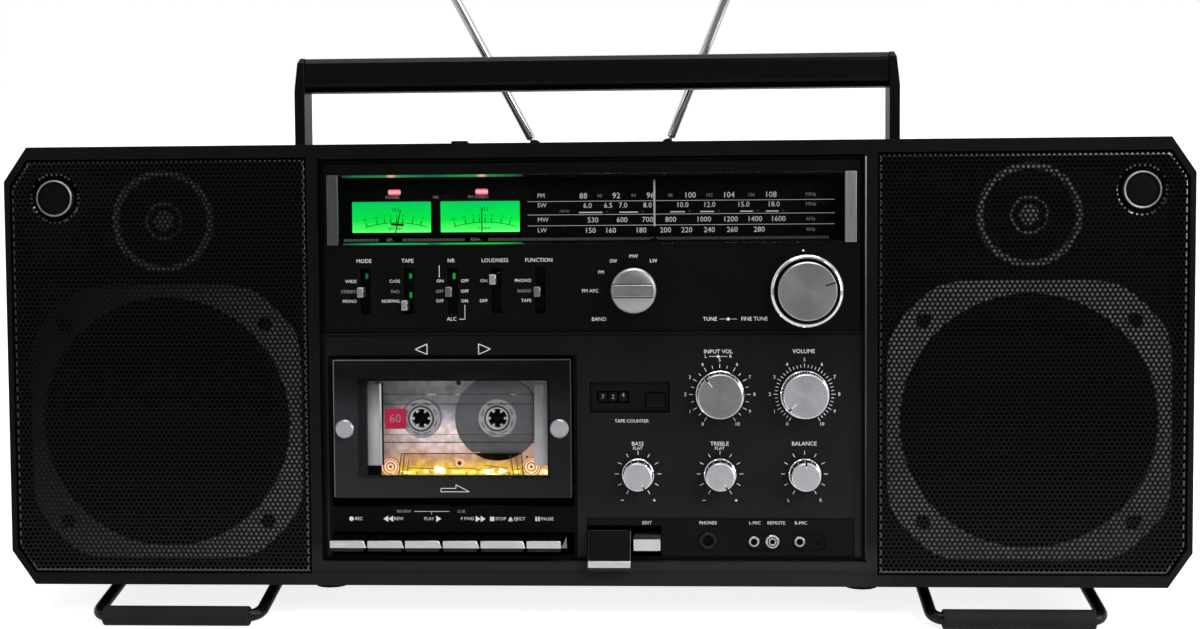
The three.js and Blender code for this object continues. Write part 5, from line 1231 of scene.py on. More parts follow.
for x0, x1 in ((64.8, 68.9), (70.7, 74.8)):
    print_shape(marks, strip(x0, x1, 126.4, 126.65), panel_face)
print_shape(marks, round_outline(69.8, 126.5, 0.8), panel_face)
print("amplifier marks", len(marks.faces))

# %% [markdown]
# ### Marks on the tuner panel
# Each lever has its title above it and up to three settings beside it, one for each place where
# the lever can rest. The middle settings are printed fainter. Round the band knob stand the
# four bands, and a thin rule with a dot ties the two tuning words together.

# %% Marks on the tuner panel
SETTING_ROWS = (168.6, 162.9, 157.6)
switch_words = {
    "mode_lever": ("MODE", ("WIDE", "STEREO", "MONO")),
    "tape_lever": ("TAPE", ("CrO2", "FeCr", "NORMAL")),
    "noise_lever": ("NR", ("ON", "OFF", "OFF")),
    "loudness_lever": ("LOUDNESS", ("ON", "", "OFF")),
    "function_lever": ("FUNCTION", ("PHONO", "RADIO", "TAPE")),
}
for node, (title, settings) in switch_words.items():
    x = middle(node)[0]
    print_text(words, title, x - 0.6, 179.8, 2.1, tuner_face)
    for n, (setting, z) in enumerate(zip(settings, SETTING_ROWS)):
        if setting:
            print_text(words if n != 1 else faint, setting, x - 4.8, z, 1.75, tuner_face, "RIGHT")
x = middle("noise_lever")[0]
for setting, z in zip(("OFF", "OFF", "ON"), SETTING_ROWS):
    print_text(words, setting, x + 4.6, z, 1.75, tuner_face, "LEFT")
print_text(words, "ALC", x - 0.6, 147.6, 2, tuner_face)
for outline in (
    strip(x - 7.4, x - 7.1, 170.6, 177.4), strip(x + 6.6, x + 6.9, 147.4, 155.4),
    strip(x + 3.6, x + 6.6, 147.4, 147.7),
):
    print_shape(marks, outline, tuner_face)
print_words(words, (
    ("SW", 12.7, 179, 1.9), ("MW", 23.7, 181.6, 1.9), ("LW", 34.6, 179, 1.9), ("FM", 5.9, 172.9, 1.9),
    ("FM AFC", -0.2, 162.7, 1.9), ("BAND", 4.6, 147.2, 2.1), ("TUNE", 65.4, 147, 2.1),
    ("FINE TUNE", 89.6, 147, 2.1),
), tuner_face)
for x0, x1 in ((70.6, 74.2), (76.4, 80)):
    print_shape(marks, strip(x0, x1, 146.9, 147.1), tuner_face)
print_shape(marks, round_outline(75.3, 147, 0.9), tuner_face)
print_shape(marks, round_outline(tune_x - 1.4, 184.2, 0.65), tuner_face)
print("tuner marks", len(marks.faces))

# %% [markdown]
# ### Marks on the deck and the lower strip
# Over the tape keys stand the signs everyone knows: a dot to record, one triangle to play, two
# to wind, a square to stop, a triangle on a bar to open, and two bars to pause. They are printed
# on the deck chassis, while the words for the sockets stand on the strip under the panel. With
# these the print is complete, so it becomes pieces here.

# %% Marks on the deck and the lower strip
KEY_SIGNS_UP = 36.7
strip_face = panel_face + 0.8
deck_face = limits("deck_chassis")[2]


def play_sign(x, z, size, way, depth):
    tip = x + way * size
    points = [(x, z - size * 0.62), (tip, z), (x, z + size * 0.62)]
    print_shape(marks, points if way > 0 else points[::-1], depth)


print_shape(marks, round_outline(-134, KEY_SIGNS_UP, 1.25), deck_face)
for x, size, way in ((-113.4, 2.8, -1), (-110.6, 2.8, -1), (-86.6, 2.9, 1), (-64.6, 2.8, 1), (-61.8, 2.8, 1)):
    play_sign(x, KEY_SIGNS_UP, size, way, deck_face)
eject_base = KEY_SIGNS_UP - 0.5
for outline in (
    strip(-56.6, -54.2, KEY_SIGNS_UP - 1.2, KEY_SIGNS_UP + 1.2),
    [(-46.4, eject_base), (-44, eject_base), (-45.2, KEY_SIGNS_UP + 1.3)],
    strip(-46.4, -44, KEY_SIGNS_UP - 1.3, KEY_SIGNS_UP - 0.8),
    strip(-31.4, -30.5, KEY_SIGNS_UP - 1.2, KEY_SIGNS_UP + 1.2),
    strip(-29.9, -29, KEY_SIGNS_UP - 1.2, KEY_SIGNS_UP + 1.2),
):
    print_shape(marks, outline, deck_face)
for label, x in (("REC", -132.2), ("REW", -110.2), ("PLAY", -93.4), ("F FWD", -72.9), ("STOP", -53.6),
                 ("EJECT", -43.4), ("PAUSE", -28.4)):
    print_text(words, label, x, KEY_SIGNS_UP, 1.75, deck_face, "LEFT")
print_words(faint, (("REVIEW", -104.6, 40.8, 1.6), ("CUE", -72.6, 40.8, 1.6)), deck_face)
print_shape(marks, strip(-98.8, -79.2, 40.7, 40.95), deck_face)
print_shape(marks, strip(-89.3, -89.05, 39.1, 40.7), deck_face)
for label, x in (("EDIT", 30.3), ("PHONES", 63.9), ("L-MIC", 89.6), ("REMOTE", 101.3), ("R-MIC", 114.8)):
    print_text(words, label, x, 34.5, 1.8, strip_face)
for x, way in ((-90.6, -1), (-62, 1)):
    print_loop(marks, [(x, 133.9), (x + way * 6.6, 131), (x, 128.1)], 0.5, panel_face)
piece("panel_marks", marks, "cabinet", ink_white)
piece("panel_words", words, "cabinet", ink_white)
piece("panel_faint_words", faint, "cabinet", ink_grey)
print("panel print laid")

# %% [markdown]
# ## Levers, counter and sockets
# The five switches have square metal caps that slide in slots; a little of the meters' green
# light leaks into each slot. The tape counter shows three pale digits on black wheels. The
# sockets are turned collars: a black one for headphones and bright ones for microphones.

# %% Switch caps and the glint behind them
lever_metal = metal("cast_lever_cap", (0.5, 0.51, 0.54), 0.35, 700, 0.002, (1, 1, 0.2))
dull_lever_metal = metal("cast_dull_lever_cap", (0.24, 0.245, 0.25), 0.35, 700, 0.002, (1, 1, 0.2))
slot_glint = glow("slot_green_glint", "X", -130, -40, [
    (0, (0, 0.12, 0.04)), (0.5, (0.01, 0.34, 0.03)), (1, (0, 0.1, 0.04)),
], 1, wobble=0.1)
lever_finish = {"noise_lever": dull_lever_metal, "function_lever": dull_lever_metal}
CAP_BACK = 6
for node in switch_words:
    left, right, front, back, low, high = limits(node)
    x, z = middle(node)
    cap_x = x - 1.5 + (x + 50) * 0.006
    cap = plates((soft_strip(cap_x - 1.75, cap_x + 1.55, z - 2.4, z + 3.1, 0.4, 3), front, CAP_BACK))
    finish = lever_finish.get(node, lever_metal)
    piece(f"{node}_cap", cap, bodies[node], finish, (node,), bevel=0.35)
    glint = plates((strip(cap_x + 1.3, cap_x + 1.65, z - 2.1, z + 2.8), front - 0.02, front + 3))
    piece(f"{node}_edge", glint, bodies[node], chrome, bevel=0.1)
    slide = plates(
        (strip(left, right, low, high), back - 1.5, back),
        (strip(x - 1.6, x + 0.6, z - 2, z + 2), CAP_BACK - 0.1, back - 1.4),
    )
    piece(f"{node}_slide", slide, bodies[node], inner_black)
glints = bmesh.new()
for x, spots in (
    (-125.2, ((171.4, 1.5), (165.3, 0.8))), (-100.7, ((171.4, 1.4), (160.8, 1.6))),
    (-76.4, ((171.2, 1.7), (165.3, 0.9))), (-51.5, ((172.4, 0.8),)),
):
    for z, size in spots:
        cut_sheet(glints, soft_strip(x - 0.3, x + 1.2, z - size, z + size, 0.4, 3), 8.76, 8.96)
piece("slot_glints", glints, "cabinet", slot_glint)
print("levers dressed")

# %% [markdown]
# ### Tape counter
# The counter's body and its reset button keep their solids. Its three wheels carry raised
# digits, and the last wheel stands between two numbers, as a running counter does.

# %% Tape counter and its reset button
dress("tape_counter", panel_black, 0.3)
dress("counter_reset_button", gloss_black, 0.4)
wheel_front = limits("tape_counter")[2] + 0.55
digits = bmesh.new()
for x, digit, shift in ((6.3, "7", 0), (11.9, "2", 0), (17.5, "4", 0.9)):
    print_text(digits, digit, x, 104.1 + shift, 2.4, wheel_front)
piece("counter_digits", digits, "cabinet", ink_grey)
print("counter reads 724")

# %% [markdown]
# ### Sockets
# Each socket is a turned collar with an eased rim round a dark hole. The hole is a black disc
# set well behind the rim, which looks as deep as a real one and lets no light through.

# %% Sockets
def collar(name, x, z, outer, inner, front, finish):
    ring = turned(at(x, 0, z), [
        (inner, front + 2.5), (inner, front + 0.3), (inner + 0.25, front), (outer - 0.5, front),
        (outer - 0.1, front + 0.35), (outer, front + 0.8), (outer, front + 2.5), (inner, front + 2.5),
    ])
    piece(name, ring, "cabinet", finish)
    hole = turned(at(x, 0, z), [
        (0, front + 1.6), (inner + 0.1, front + 1.6), (inner + 0.1, front + 2), (0, front + 2),
    ], steps=32)
    piece(f"{name}_depth", hole, "cabinet", inner_black)


polished_collar = plastic("polished_black_collar", (0.003, 0.003, 0.003), 0.12, 0.25, 400, 0.0004)
JACKS_UP, JACKS_PROUD, REMOTE_X = 24, 0.7, 99.3
collar("phones_collar", 63.9, panel_low + 10.9, 4.9, 3.2, 1.9, polished_collar)
for name, x, outer, inner in (
    ("left_microphone_collar", 89.2, 3.05, 1.75), ("remote_collar", REMOTE_X, 3.95, 1.25),
    ("right_microphone_collar", 114.2, 3.05, 1.75),
):
    collar(name, x, JACKS_UP, outer, inner, panel_face + JACKS_PROUD, knob_metal)
groove = turned(at(REMOTE_X, panel_face, JACKS_UP), washer(2.1, 2.7, 0.66, 0.72), steps=32)
piece("remote_collar_groove", groove, "cabinet", inner_black)
lens = turned(at(125, panel_face, JACKS_UP - 0.4), [
    (0, 0.9), (1.4, 1), (1.6, 1.3), (1.6, 2.1), (0, 2.1),
], steps=32)
piece("battery_light", lens, "cabinet", inner_black)
print("sockets fitted")

# %% [markdown]
# ## Keys
# Six transport keys hang on one rod. Each is moulded in polished black with a metal strip
# along its front lip. Beside the deck the wide search key has a metal lip of its own, and the
# small edit key is all metal.

# %% Transport keys and their lips
LIP_LOW, LIP_HIGH = 22.2, 26.2
for node in ("record_key", "rewind_key", "play_key", "forward_key", "stop_key", "pause_key"):
    dress(node, gloss_black, 0.35)
    left, right, front, *_ = limits(node)
    foot = right if node == "pause_key" else right + 1.5
    lip = plates(([
        (left - 0.3, LIP_LOW), (foot, LIP_LOW), (right - 0.1, LIP_HIGH), (left - 0.3, LIP_HIGH),
    ], front - 0.25, front + 0.6))
    piece(f"{node}_lip", lip, bodies[node], key_metal, bevel=0.25)
_, right, front, *_ = limits("pause_key")
flank = plates(
    ([(right + 0.3, 22.2), (right + 3.3, 22.4), (right + 3, 28.6)], front + 0.6, front + 1),
    (strip(right - 1.2, right + 3.1, 22.3, 23.6), front + 0.7, front + 2),
)
piece("pause_key_flank", flank, bodies["pause_key"], dull_lever_metal)
dress("search_key", gloss_black, 0.3)
left, right, front, _, low, _ = limits("search_key")
lip = plates((strip(left + 0.1, right - 0.1, low + 1.8, low + 5.5), front - 0.3, front + 0.8))
piece("search_key_lip", lip, bodies["search_key"], key_metal, bevel=0.25)
edit_metal = metal("bright_edit_key", (0.78, 0.79, 0.8), 0.34, 900, 0.002, (0.05, 1, 1))
dress("edit_key", edit_metal, 0.4)
dress("power_button", gloss_black, 0.5)
print("keys dressed")

# %% [markdown]
# ## The cassette door
# The door is a polished frame round a clear window. It hinges at its foot and carries the
# cassette between two spring guides. Two thumb nuts with turned faces hold the window in. The
# frame's finish is black with a painted reflection of the pale room: a soft painted sheen,
# a little uneven, that changes with height and dies away to the right.

# %% Door, window, nuts and guides
# Painted sheen: a painted reflection of the room, changing with height and fading to the right.
door_black_painted_sheen, tree, shader = new_finish("polished_door_plastic_painted_sheen")
door_painted_sheen = ramp(tree, wavering(tree, run_along(tree, "Z", 49, 126), 0.14, 60, 4), [
    (0, (0.022, 0.022, 0.023)), (0.3, (0.021, 0.021, 0.023)), (0.6, (0.028, 0.029, 0.034)),
    (0.82, (0.008, 0.008, 0.009)), (0.9, 0.003), (1, 0.006),
])
side = ramp(tree, run_along(tree, "X", -142.4, -10.6), [
    (0, 1), (0.1, 0.9), (0.5, (0.7, 0.7, 0.68)), (1, 0.42),
])
fill(tree, shader, {
    "Base Color": tinted(tree, door_painted_sheen, side),
    "Roughness": between(tree, noise(tree, 200, 3), 0.1, 0.2),
    "Specular IOR Level": 0.2,
})
dress("cassette_door", door_black_painted_sheen, 0.25)
dress("door_window", door_clear, 0.2)
door_front = limits("cassette_door")[2]
NUTS_UP = 87.6
for name, x in (("left", -135.8), ("right", -17.2)):
    nut = turned(at(x, door_front, NUTS_UP), [
        (0, -0.12), (4.55, -0.12), (5.1, 0.4), (5.1, 3), (0, 3),
    ], steps=64)
    piece(f"thumb_nut_{name}", nut, "cassette_door", knob_metal, origin=at(x, 0, NUTS_UP))
print("door front at depth", round(door_front, 2))

# %% [markdown]
# ### Spring guides
# Two strips of sprung steel hold the cassette by its ends. Their light and shade are painted
# into their colour: the left one is brightest towards its right edge, both darken upwards, and a
# bright strip along the left one's edge is a painted highlight. Each tone runs along one
# direction, broken up by a little smear, as painted light from one side.

# %% Spring guides, arrow and door edges
def graded(name, axis, start, end, stops, roughness, specular=0.3, fade=None):
    """Metal with painted light: its tone runs along one axis in millimetres, and may fade upwards."""
    finish, tree, shader = new_finish(name)
    tone = ramp(tree, wavering(tree, run_along(tree, axis, start, end), 0.07, 130, 4, (1, 1, 0.4)), stops)
    if fade:
        low, high, share = fade
        tone = tinted(tree, tone, ramp(tree, run_along(tree, "Z", low, high), [(0, 1), (1, share)]))
    fill(tree, shader, {
        "Base Color": tone,
        "Roughness": between(tree, noise(tree, 700, 2), roughness - 0.05, roughness + 0.05),
        "Specular IOR Level": specular,
    })
    return finish


left_guide_painted_light = graded("left_spring_guide_painted_light", "X", -128.4, -115.9, [
    (0, (0.03, 0.03, 0.031)), (0.15, (0.16, 0.165, 0.17)), (0.35, (0.5, 0.52, 0.54)),
    (0.65, (0.72, 0.74, 0.76)), (1, (0.8, 0.82, 0.84)),
], 0.35, fade=(90, 109, 0.26))
left_guide_highlight_finish = graded("left_guide_painted_highlight", "Z", 66, 112.5, [
    (0, (0.95, 0.95, 0.97)), (0.35, (0.9, 0.9, 0.92)), (0.5, (0.6, 0.6, 0.62)),
    (0.65, (0.95, 0.95, 0.97)), (1, (0.95, 0.95, 0.97)),
], 0.2, 1)
right_guide_painted_light = graded("right_spring_guide_painted_light", "Z", 66, 112.5, [
    (0, (0.8, 0.8, 0.82)), (0.25, (0.66, 0.66, 0.68)), (0.55, (0.5, 0.51, 0.52)),
    (0.8, (0.34, 0.34, 0.35)), (1, (0.22, 0.22, 0.23)),
], 0.35)
GUIDE_FRONT, GUIDE_BACK = 3.6, 4.3
for name, x0, x1, finish in (("left", -128.2, -116.3, left_guide_painted_light), ("right", -31.6, -23.4, right_guide_painted_light)):
    guide = plates((soft_strip(x0, x1, 66.4, 112.2, 0.3, 3), GUIDE_FRONT, GUIDE_BACK))
    piece(f"cassette_guide_{name}", guide, "cassette_door", finish, bevel=0.2)
# A bright strip along the left guide's right edge: a painted highlight.
edge = plates((strip(-117.7, -116.5, 66.6, 112), 3.3, 3.7))
piece("cassette_guide_left_painted_highlight", edge, "cassette_door", left_guide_highlight_finish, bevel=0.1)
# The first strip is a painted shadow beside the left guide; the other two shapes are the guide's foot.
foot = plates(
    (strip(-116.4, -115.5, 66.6, 112.4), 3.5, 3.9),
    (strip(-129.4, -117, 57.9, 66.3), GUIDE_FRONT, GUIDE_BACK),
    (round_outline(-121.6, 61.6, 2.2, 24), 3.3, 3.7),
)
piece("cassette_guide_left_foot_and_painted_shadow", foot, "cassette_door", tray_black, bevel=0.1)
ARROW_X, ARROW_Z = -75.6, 53.9
arrow = bmesh.new()
ARROW_POINTS = ((-7.4, -1.3), (8.3, -1.3), (0.9, 2.6), (0.9, 0.6), (-7.4, 0.6))
print_loop(arrow, [(ARROW_X + dx, ARROW_Z + dz) for dx, dz in ARROW_POINTS], 0.35, -2)
piece("door_arrow", arrow, "cassette_door", ink_white)
# Thin grey lines along the door's top and sides: painted highlights on its edges.
door_edge_highlight_finish = graded("door_edge_painted_highlight", "X", -142.4, -10.6, [
    (0, (0.14, 0.14, 0.15)), (0.5, (0.09, 0.09, 0.095)), (1, (0.05, 0.05, 0.055)),
], 0.3)
door_highlight_lines = plates(*((outline, -2.12, -1.9) for outline in (
    strip(-142.2, -10.8, 125.1, 125.7), strip(-142.2, -141.7, 49.6, 125.1), strip(-11.3, -10.8, 49.6, 125.1),
)))
piece("door_edge_painted_highlights", door_highlight_lines, "cassette_door", door_edge_highlight_finish)
print("door dressed")

# %% [markdown]
# ## The cassette
# The cassette is clear smoky plastic: a front shell, a back shell and the thicker trapezoid
# where the heads go in. Two hubs turn between the shells, each with six teeth, and nearly all
# the tape is on the right-hand one. The deck lamp shines in from below, so the lower edge burns
# yellow and the glow dies away upwards through orange and pink.

# %% Cassette shells
shell_left, shell_right, shell_front, shell_back, shell_low, shell_high = limits("cassette_shell")
hub_spots = {"left": (-94.95, 92.2), "right": (-52.45, 92.2)}
seam = sum(spot[0] for spot in hub_spots.values()) / 2
WALL = 0.9
BACK_SKIN = 1.1


def holed_plate(mesh, x0, x1, z0, z1, hub, radius, front, back):
    """Half a shell: a rectangle with a round hole, as points at the same angles round the hub."""
    steps = 48
    corners = {round(math.atan2(z - hub[1], x - hub[0]), 6) for x in (x0, x1) for z in (z0, z1)}
    around = {round(2 * math.pi * i / steps - math.pi + 0.01, 6) for i in range(steps)}
    angles = sorted(corners | around)
    outer = []
    for a in angles:
        c, s = math.cos(a), math.sin(a)
        reach = min(((x1 if c > 0 else x0) - hub[0]) / c if abs(c) > 1e-9 else 1e9,
                    ((z1 if s > 0 else z0) - hub[1]) / s if abs(s) > 1e-9 else 1e9)
        outer.append((hub[0] + c * reach, hub[1] + s * reach))
    inner = [(hub[0] + radius * math.cos(a), hub[1] + radius * math.sin(a)) for a in angles]
    plate_with_hole(mesh, outer, inner, front, back)


# the tape heads and the two pinch rollers rise through notches in the back shell's lower edge
NOTCH_HIGH, ROLLER_AWAY = 5.5, 31
HEAD_NOTCHES = ((seam - ROLLER_AWAY, 5.5), (seam, 8.5), (seam + ROLLER_AWAY, 5.5))


def shell_piece(name, mesh, finish, replaced=()):
    return piece(name, mesh, "cassette_door", finish, replaced)


def shell_plate(name, front, back, finish, radius, replaced=(), notches=()):
    plate = bmesh.new()
    low = shell_low + (NOTCH_HIGH if notches else 0)
    holed_plate(plate, shell_left, seam, low, shell_high, hub_spots["left"], radius, front, back)
    holed_plate(plate, seam, shell_right, low, shell_high, hub_spots["right"], radius, front, back)
    if notches:
        edges = [shell_left] + [x + side * half for x, half in notches for side in (-1, 1)] + [shell_right]
        for x0, x1 in zip(edges[::2], edges[1::2]):
            cut_sheet(plate, strip(x0, x1, shell_low, low), front, back)
    shell_piece(name, plate, finish, replaced)


print("cassette", round(shell_right - shell_left, 1), "by", round(shell_high - shell_low, 1), "mm")

# %% Lit shell finish
def lit_shell(name, stops, strength, base):
    """Plastic lit from below: colour by height, broken into patches near the lamp."""
    finish, tree, shader = new_finish(name)
    shift = between(tree, noise(tree, 110, 5, (1, 1, 1.6)), -0.05, 0.05, 0.3, 0.7)
    height = combine(tree, "ADD", run_along(tree, "Z", shell_low, shell_high), shift)
    patches = ramp(tree, noise(tree, 260, 4), [(0.35, (0.6, 0.55, 0.46)), (0.6, 1)])
    spread = ramp(tree, run_along(tree, "X", shell_left, shell_right), [
        (0.06, (0.32, 0.31, 0.3)), (0.12, (0.68, 0.67, 0.66)), (0.2, 0.86), (0.34, 1), (0.52, 1), (0.69, 0.8),
        (0.9, (0.55, 0.5, 0.46)),
    ])
    fill(tree, shader, {
        "Emission Color": tinted(tree, ramp(tree, height, stops), tinted(tree, patches, spread)),
        "Emission Strength": strength,
        "Base Color": mottled(tree, base, 40, 3, 0.9, 1.1),
        "Roughness": 0.3,
        "Specular IOR Level": 0.2,
    })
    return finish


back_shell = lit_shell("smoky_back_shell", [
    (0, (1, 0.72, 0.05)), (0.07, (1.05, 0.72, 0.06)), (0.12, (0.95, 0.52, 0.12)), (0.17, (0.62, 0.37, 0.2)),
    (0.235, (0.55, 0.37, 0.31)), (0.28, (0.62, 0.46, 0.44)), (0.33, (0.5, 0.44, 0.46)),
    (0.4, (0.66, 0.55, 0.54)), (0.445, (0.56, 0.47, 0.48)), (0.49, (0.38, 0.34, 0.38)),
    (0.53, (0.27, 0.26, 0.3)), (0.575, (0.21, 0.2, 0.23)), (0.63, (0.135, 0.135, 0.155)),
    (0.7, (0.09, 0.09, 0.1)), (1, (0.1, 0.1, 0.11)),
], 1.7, (0.2, 0.2, 0.205))
front_clear = clear_sheet("smoky_front_shell", (0.95, 0.95, 0.955), 0.12)
hub_white = plastic("hub_white_plastic", (0.85, 0.84, 0.87), 0.4, 0.4, 900, 0.002, 0.1)
hub_grey = plastic("hub_slot_plastic", (0.42, 0.41, 0.42), 0.4, 0.3, 900, 0.002)
hub_dark = plastic("hub_shadow_plastic", (0.16, 0.155, 0.16), 0.4, 0.3, 900, 0.002)
tape_dark = plastic("wound_tape", (0.29, 0.29, 0.31), 0.3, 0.4, 200, 0.001, 0.06)
shell_line = plastic("shell_rib_shadow", (0.03, 0.028, 0.028), 0.5, 0.2, 900, 0.001)
print("cassette finishes", len(bpy.data.materials))

# %% Shells, screen and walls
SCREEN_FRONT, SCREEN_BACK, SCREEN_LOW = 23.86, 23.96, 57
shell_plate("cassette_back_shell", shell_back - BACK_SKIN, shell_back, back_shell, 5.9,
            ("cassette_shell",), HEAD_NOTCHES)
screen = plates(*(
    (strip(x - half - 2, x + half + 2, SCREEN_LOW, shell_low + NOTCH_HIGH + 2), SCREEN_FRONT, SCREEN_BACK)
    for x, half in HEAD_NOTCHES
))
piece("deck_lamp_screen", screen, "cabinet", back_shell)
shell_plate("cassette_front_shell", shell_front, shell_front + WALL, front_clear, 6.3)
walls = plates(*((outline, shell_front + WALL, shell_back - BACK_SKIN) for outline in (
    strip(shell_left, shell_left + WALL, shell_low, shell_high),
    strip(shell_right - WALL, shell_right, shell_low, shell_high),
    strip(shell_left + WALL, shell_right - WALL, shell_high - WALL, shell_high),
)))
shell_piece("cassette_side_walls", walls, back_shell)
print("cassette shells", round(shell_left, 1), round(shell_right, 1))

# %% [markdown]
# ### Hubs and tape
# A hub is a white ring with six teeth that point inwards to the spindle. A dark ring and eight
# shallow slots show the shell's own opening behind it. Round it lies the tape: a black pack with
# square shoulders, thin on the left hub and thick on the right. Every part turns with its reel,
# so each mesh is centred on the reel's axis.

# %% Hubs and tape
for name, pack in (("left", 10.9), ("right", 23.7)):
    node = f"tape_reel_{name}"
    x, z = hub_spots[name]
    origin = at(x, 0, z)
    body = bodies[node]
    _, _, reel_front, reel_back, _, _ = limits(node)
    disc = turned(origin, [
        (5.3, reel_front + 0.3), (5.6, reel_front), (10.3, reel_front), (10.6, reel_front + 0.3),
        (10.6, reel_back - 0.2), (5.3, reel_back - 0.2), (5.3, reel_front + 0.3),
    ], steps=72)
    for k in range(6):
        cut_sheet(disc, spoke(x, z, 60 * k + 30, 3.7, 5.6, 1.1), reel_front + 0.3, reel_back - 0.4)
    piece(f"hub_{name}", disc, body, hub_white, origin=origin)
    ring = turned(origin, washer(6.2, 7.3, reel_front - 0.12, reel_front + 0.2), steps=72)
    piece(f"hub_ring_{name}", ring, body, hub_dark, origin=origin)
    slots = bmesh.new()
    for k in range(8):
        outline = [pointing(45 * k + 8 + 6 * i, 9.2) for i in range(5)]
        outline += [pointing(45 * k + 32 - 6 * i, 8.2) for i in range(5)]
        cut_sheet(slots, [(x + dx, z + dz) for dx, dz in outline], reel_front - 0.06, reel_front + 0.1)
    piece(f"hub_slots_{name}", slots, body, hub_grey, origin=origin)
    wound = turned(origin, [
        (10.65, reel_front + 0.8), (pack - 0.2, reel_front + 0.8), (pack, reel_front + 1),
        (pack, reel_back), (10.65, reel_back), (10.65, reel_front + 0.8),
    ], steps=96)
    piece(f"wound_tape_{name}", wound, body, tape_dark, (node,), origin=origin)
for node in ("reel_spindle_left", "reel_spindle_right"):
    dress(node, inner_black, 0.2)
dress("head_bridge", zinc, 0.3)
print("reels wound")

# %% [markdown]
# ### Print, ribs and the lamp's light
# The front shell has a small red label and a few moulded ribs, with the thicker block for the
# heads below. Behind it the deck lamp picks out the guide rollers, the walls of the well and
# patches of light on the back. They are thin raised shapes with their own glow, because light
# that really bends through moulded plastic would take far longer to settle.

# %% Cassette print and ribs
label_pale = plastic("label_pale_pink_ink", (0.5, 0.36, 0.4), 0.6, 0.2, 2500, 0.001)
label_face = shell_front - 0.06
red_label = plates((strip(-114.9, -103.2, 86.6, 97.9), label_face, shell_front))
shell_piece("cassette_red_label", red_label, ink_red)
label_text = bmesh.new()
print_text(label_text, "60", -109.2, 92.2, 4.7, label_face)
piece("cassette_label_minutes", label_text, "cassette_door", label_pale)
BLOCK_PROUD = 0.7
ribs = bmesh.new()
for z, thick in ((105.8, 0.35), (100.4, 0.45), (79.1, 0.5), (83.4, 0.25)):
    print_shape(ribs, strip(shell_left + 2, shell_right - 1.5, z - thick / 2, z + thick / 2), shell_front)
head_block = [(-107.9, 58.4), (-37.7, 58.4), (-38.9, 73), (-105.8, 73)]
print_loop(ribs, head_block[1:] + head_block[:1], 0.5, shell_front - BLOCK_PROUD)
for x, z, radius in ((-73.6, 112.2, 1.4), (-73.6, 67.4, 1), (-36, 71, 0.6), (-118.9, 112.2, 0.9)):
    print_shape(ribs, round_outline(x, z, radius), shell_front)
shell_piece("cassette_ribs", ribs, shell_line)
thick = plates((head_block, shell_front - BLOCK_PROUD, shell_front - 0.02))
shell_piece("cassette_head_block", thick, front_clear)
print("label and ribs laid")

# %% Rollers and the lit well
WELL_FRONT, WELL_BACK = shell_front + 1.2, shell_front + 1.8
ROLLER_XS, ROLLERS_UP = (-112.4, -33.8), 65.2
roller_orange = glow("guide_roller_glow", "Z", 58, 72, [
    (0, (1, 0.7, 0.3)), (0.5, (0.95, 0.6, 0.4)), (1, (0.8, 0.5, 0.42)),
], 1.9, wobble=0.08)
roller_red = glow("guide_roller_hollow", "Z", 58, 72, [
    (0, (0.6, 0.16, 0.02)), (0.5, (0.4, 0.1, 0.04)), (1, (0.25, 0.1, 0.07)),
], 1, wobble=0.1)
well_brown = glow("lit_well_shadow", "Z", 58, 73, [
    (0, (0.42, 0.14, 0.01)), (0.5, (0.2, 0.08, 0.03)), (1, (0.08, 0.05, 0.04)),
], 1, wobble=0.1)
rollers = bmesh.new()
hollows = bmesh.new()
for x in ROLLER_XS:
    for outer, inner in ((4.8, 4.3), (3.4, 2.9), (1.9, 1.2)):
        turn_on_lathe(rollers, washer(inner, outer, 0, 1.2), at(x, WELL_FRONT, ROLLERS_UP), steps=40)
    for outer, inner in ((5.2, 4.8), (4.3, 3.9), (2.3, 1.9), (0.7, 0.1)):
        turn_on_lathe(hollows, washer(inner, outer, 0, 1), at(x, shell_front + 1.3, ROLLERS_UP), steps=40)
turn_on_lathe(rollers, washer(1.7, 2.3, 0, 1), at(-73.6, WELL_FRONT, 67.4), steps=32)
turn_on_lathe(rollers, washer(1.5, 2.4, 0, 1), at(-26.6, WELL_FRONT, 61.6), steps=32)
shell_piece("cassette_guide_rollers", rollers, roller_orange)
shell_piece("cassette_roller_hollows", hollows, roller_red)
well_ribs = bmesh.new()
for x0, z0, x1, z1, width in (
    (-104.6, 72, -106, 59, 0.5), (-102.2, 69.6, -103.4, 59.4, 0.3), (-45.6, 72, -43.4, 59.4, 0.5),
    (-42.4, 71, -40.6, 60, 0.4), (-103, 64.6, -88, 64.2, 0.35), (-81, 64.4, -66, 64.4, 0.35),
    (-66, 64.4, -62.5, 63.2, 0.35), (-60, 66, -47, 64.6, 0.3), (-98, 62.4, -96.6, 59.6, 0.4),
    (-91.4, 63.4, -88.6, 61, 0.35), (-83.4, 60.4, -79.4, 61.6, 0.3), (-70.2, 62.2, -69.4, 59.2, 0.4),
    (-55.4, 63.8, -56.8, 60.2, 0.4), (-50.4, 62.6, -46, 61.8, 0.3), (-37.4, 68.6, -29.8, 67.6, 0.3),
):
    cut_sheet(well_ribs, slanted(x0, z0, x1, z1, width), WELL_FRONT, WELL_BACK)
for x, z in ((-97.6, 59.8), (-82.4, 60), (-63, 60.2), (-46, 61.4)):
    cut_sheet(well_ribs, round_outline(x, z, 0.55, 16), WELL_FRONT, WELL_BACK)
shell_piece("cassette_lower_ribs", well_ribs, well_brown)
print("well lit")

# %% Flares and glints
def blob(x, z, wide, tall, turn):
    """An uneven patch of light."""
    points = []
    for i in range(36):
        a = 2 * math.pi * i / 36
        swell = 1 + 0.24 * math.sin(3 * a + turn) + 0.16 * math.sin(5 * a + 2 * turn) + 0.1 * math.sin(8 * a)
        points.append((x + wide * swell * math.cos(a), z + tall * swell * math.sin(a)))
    return points


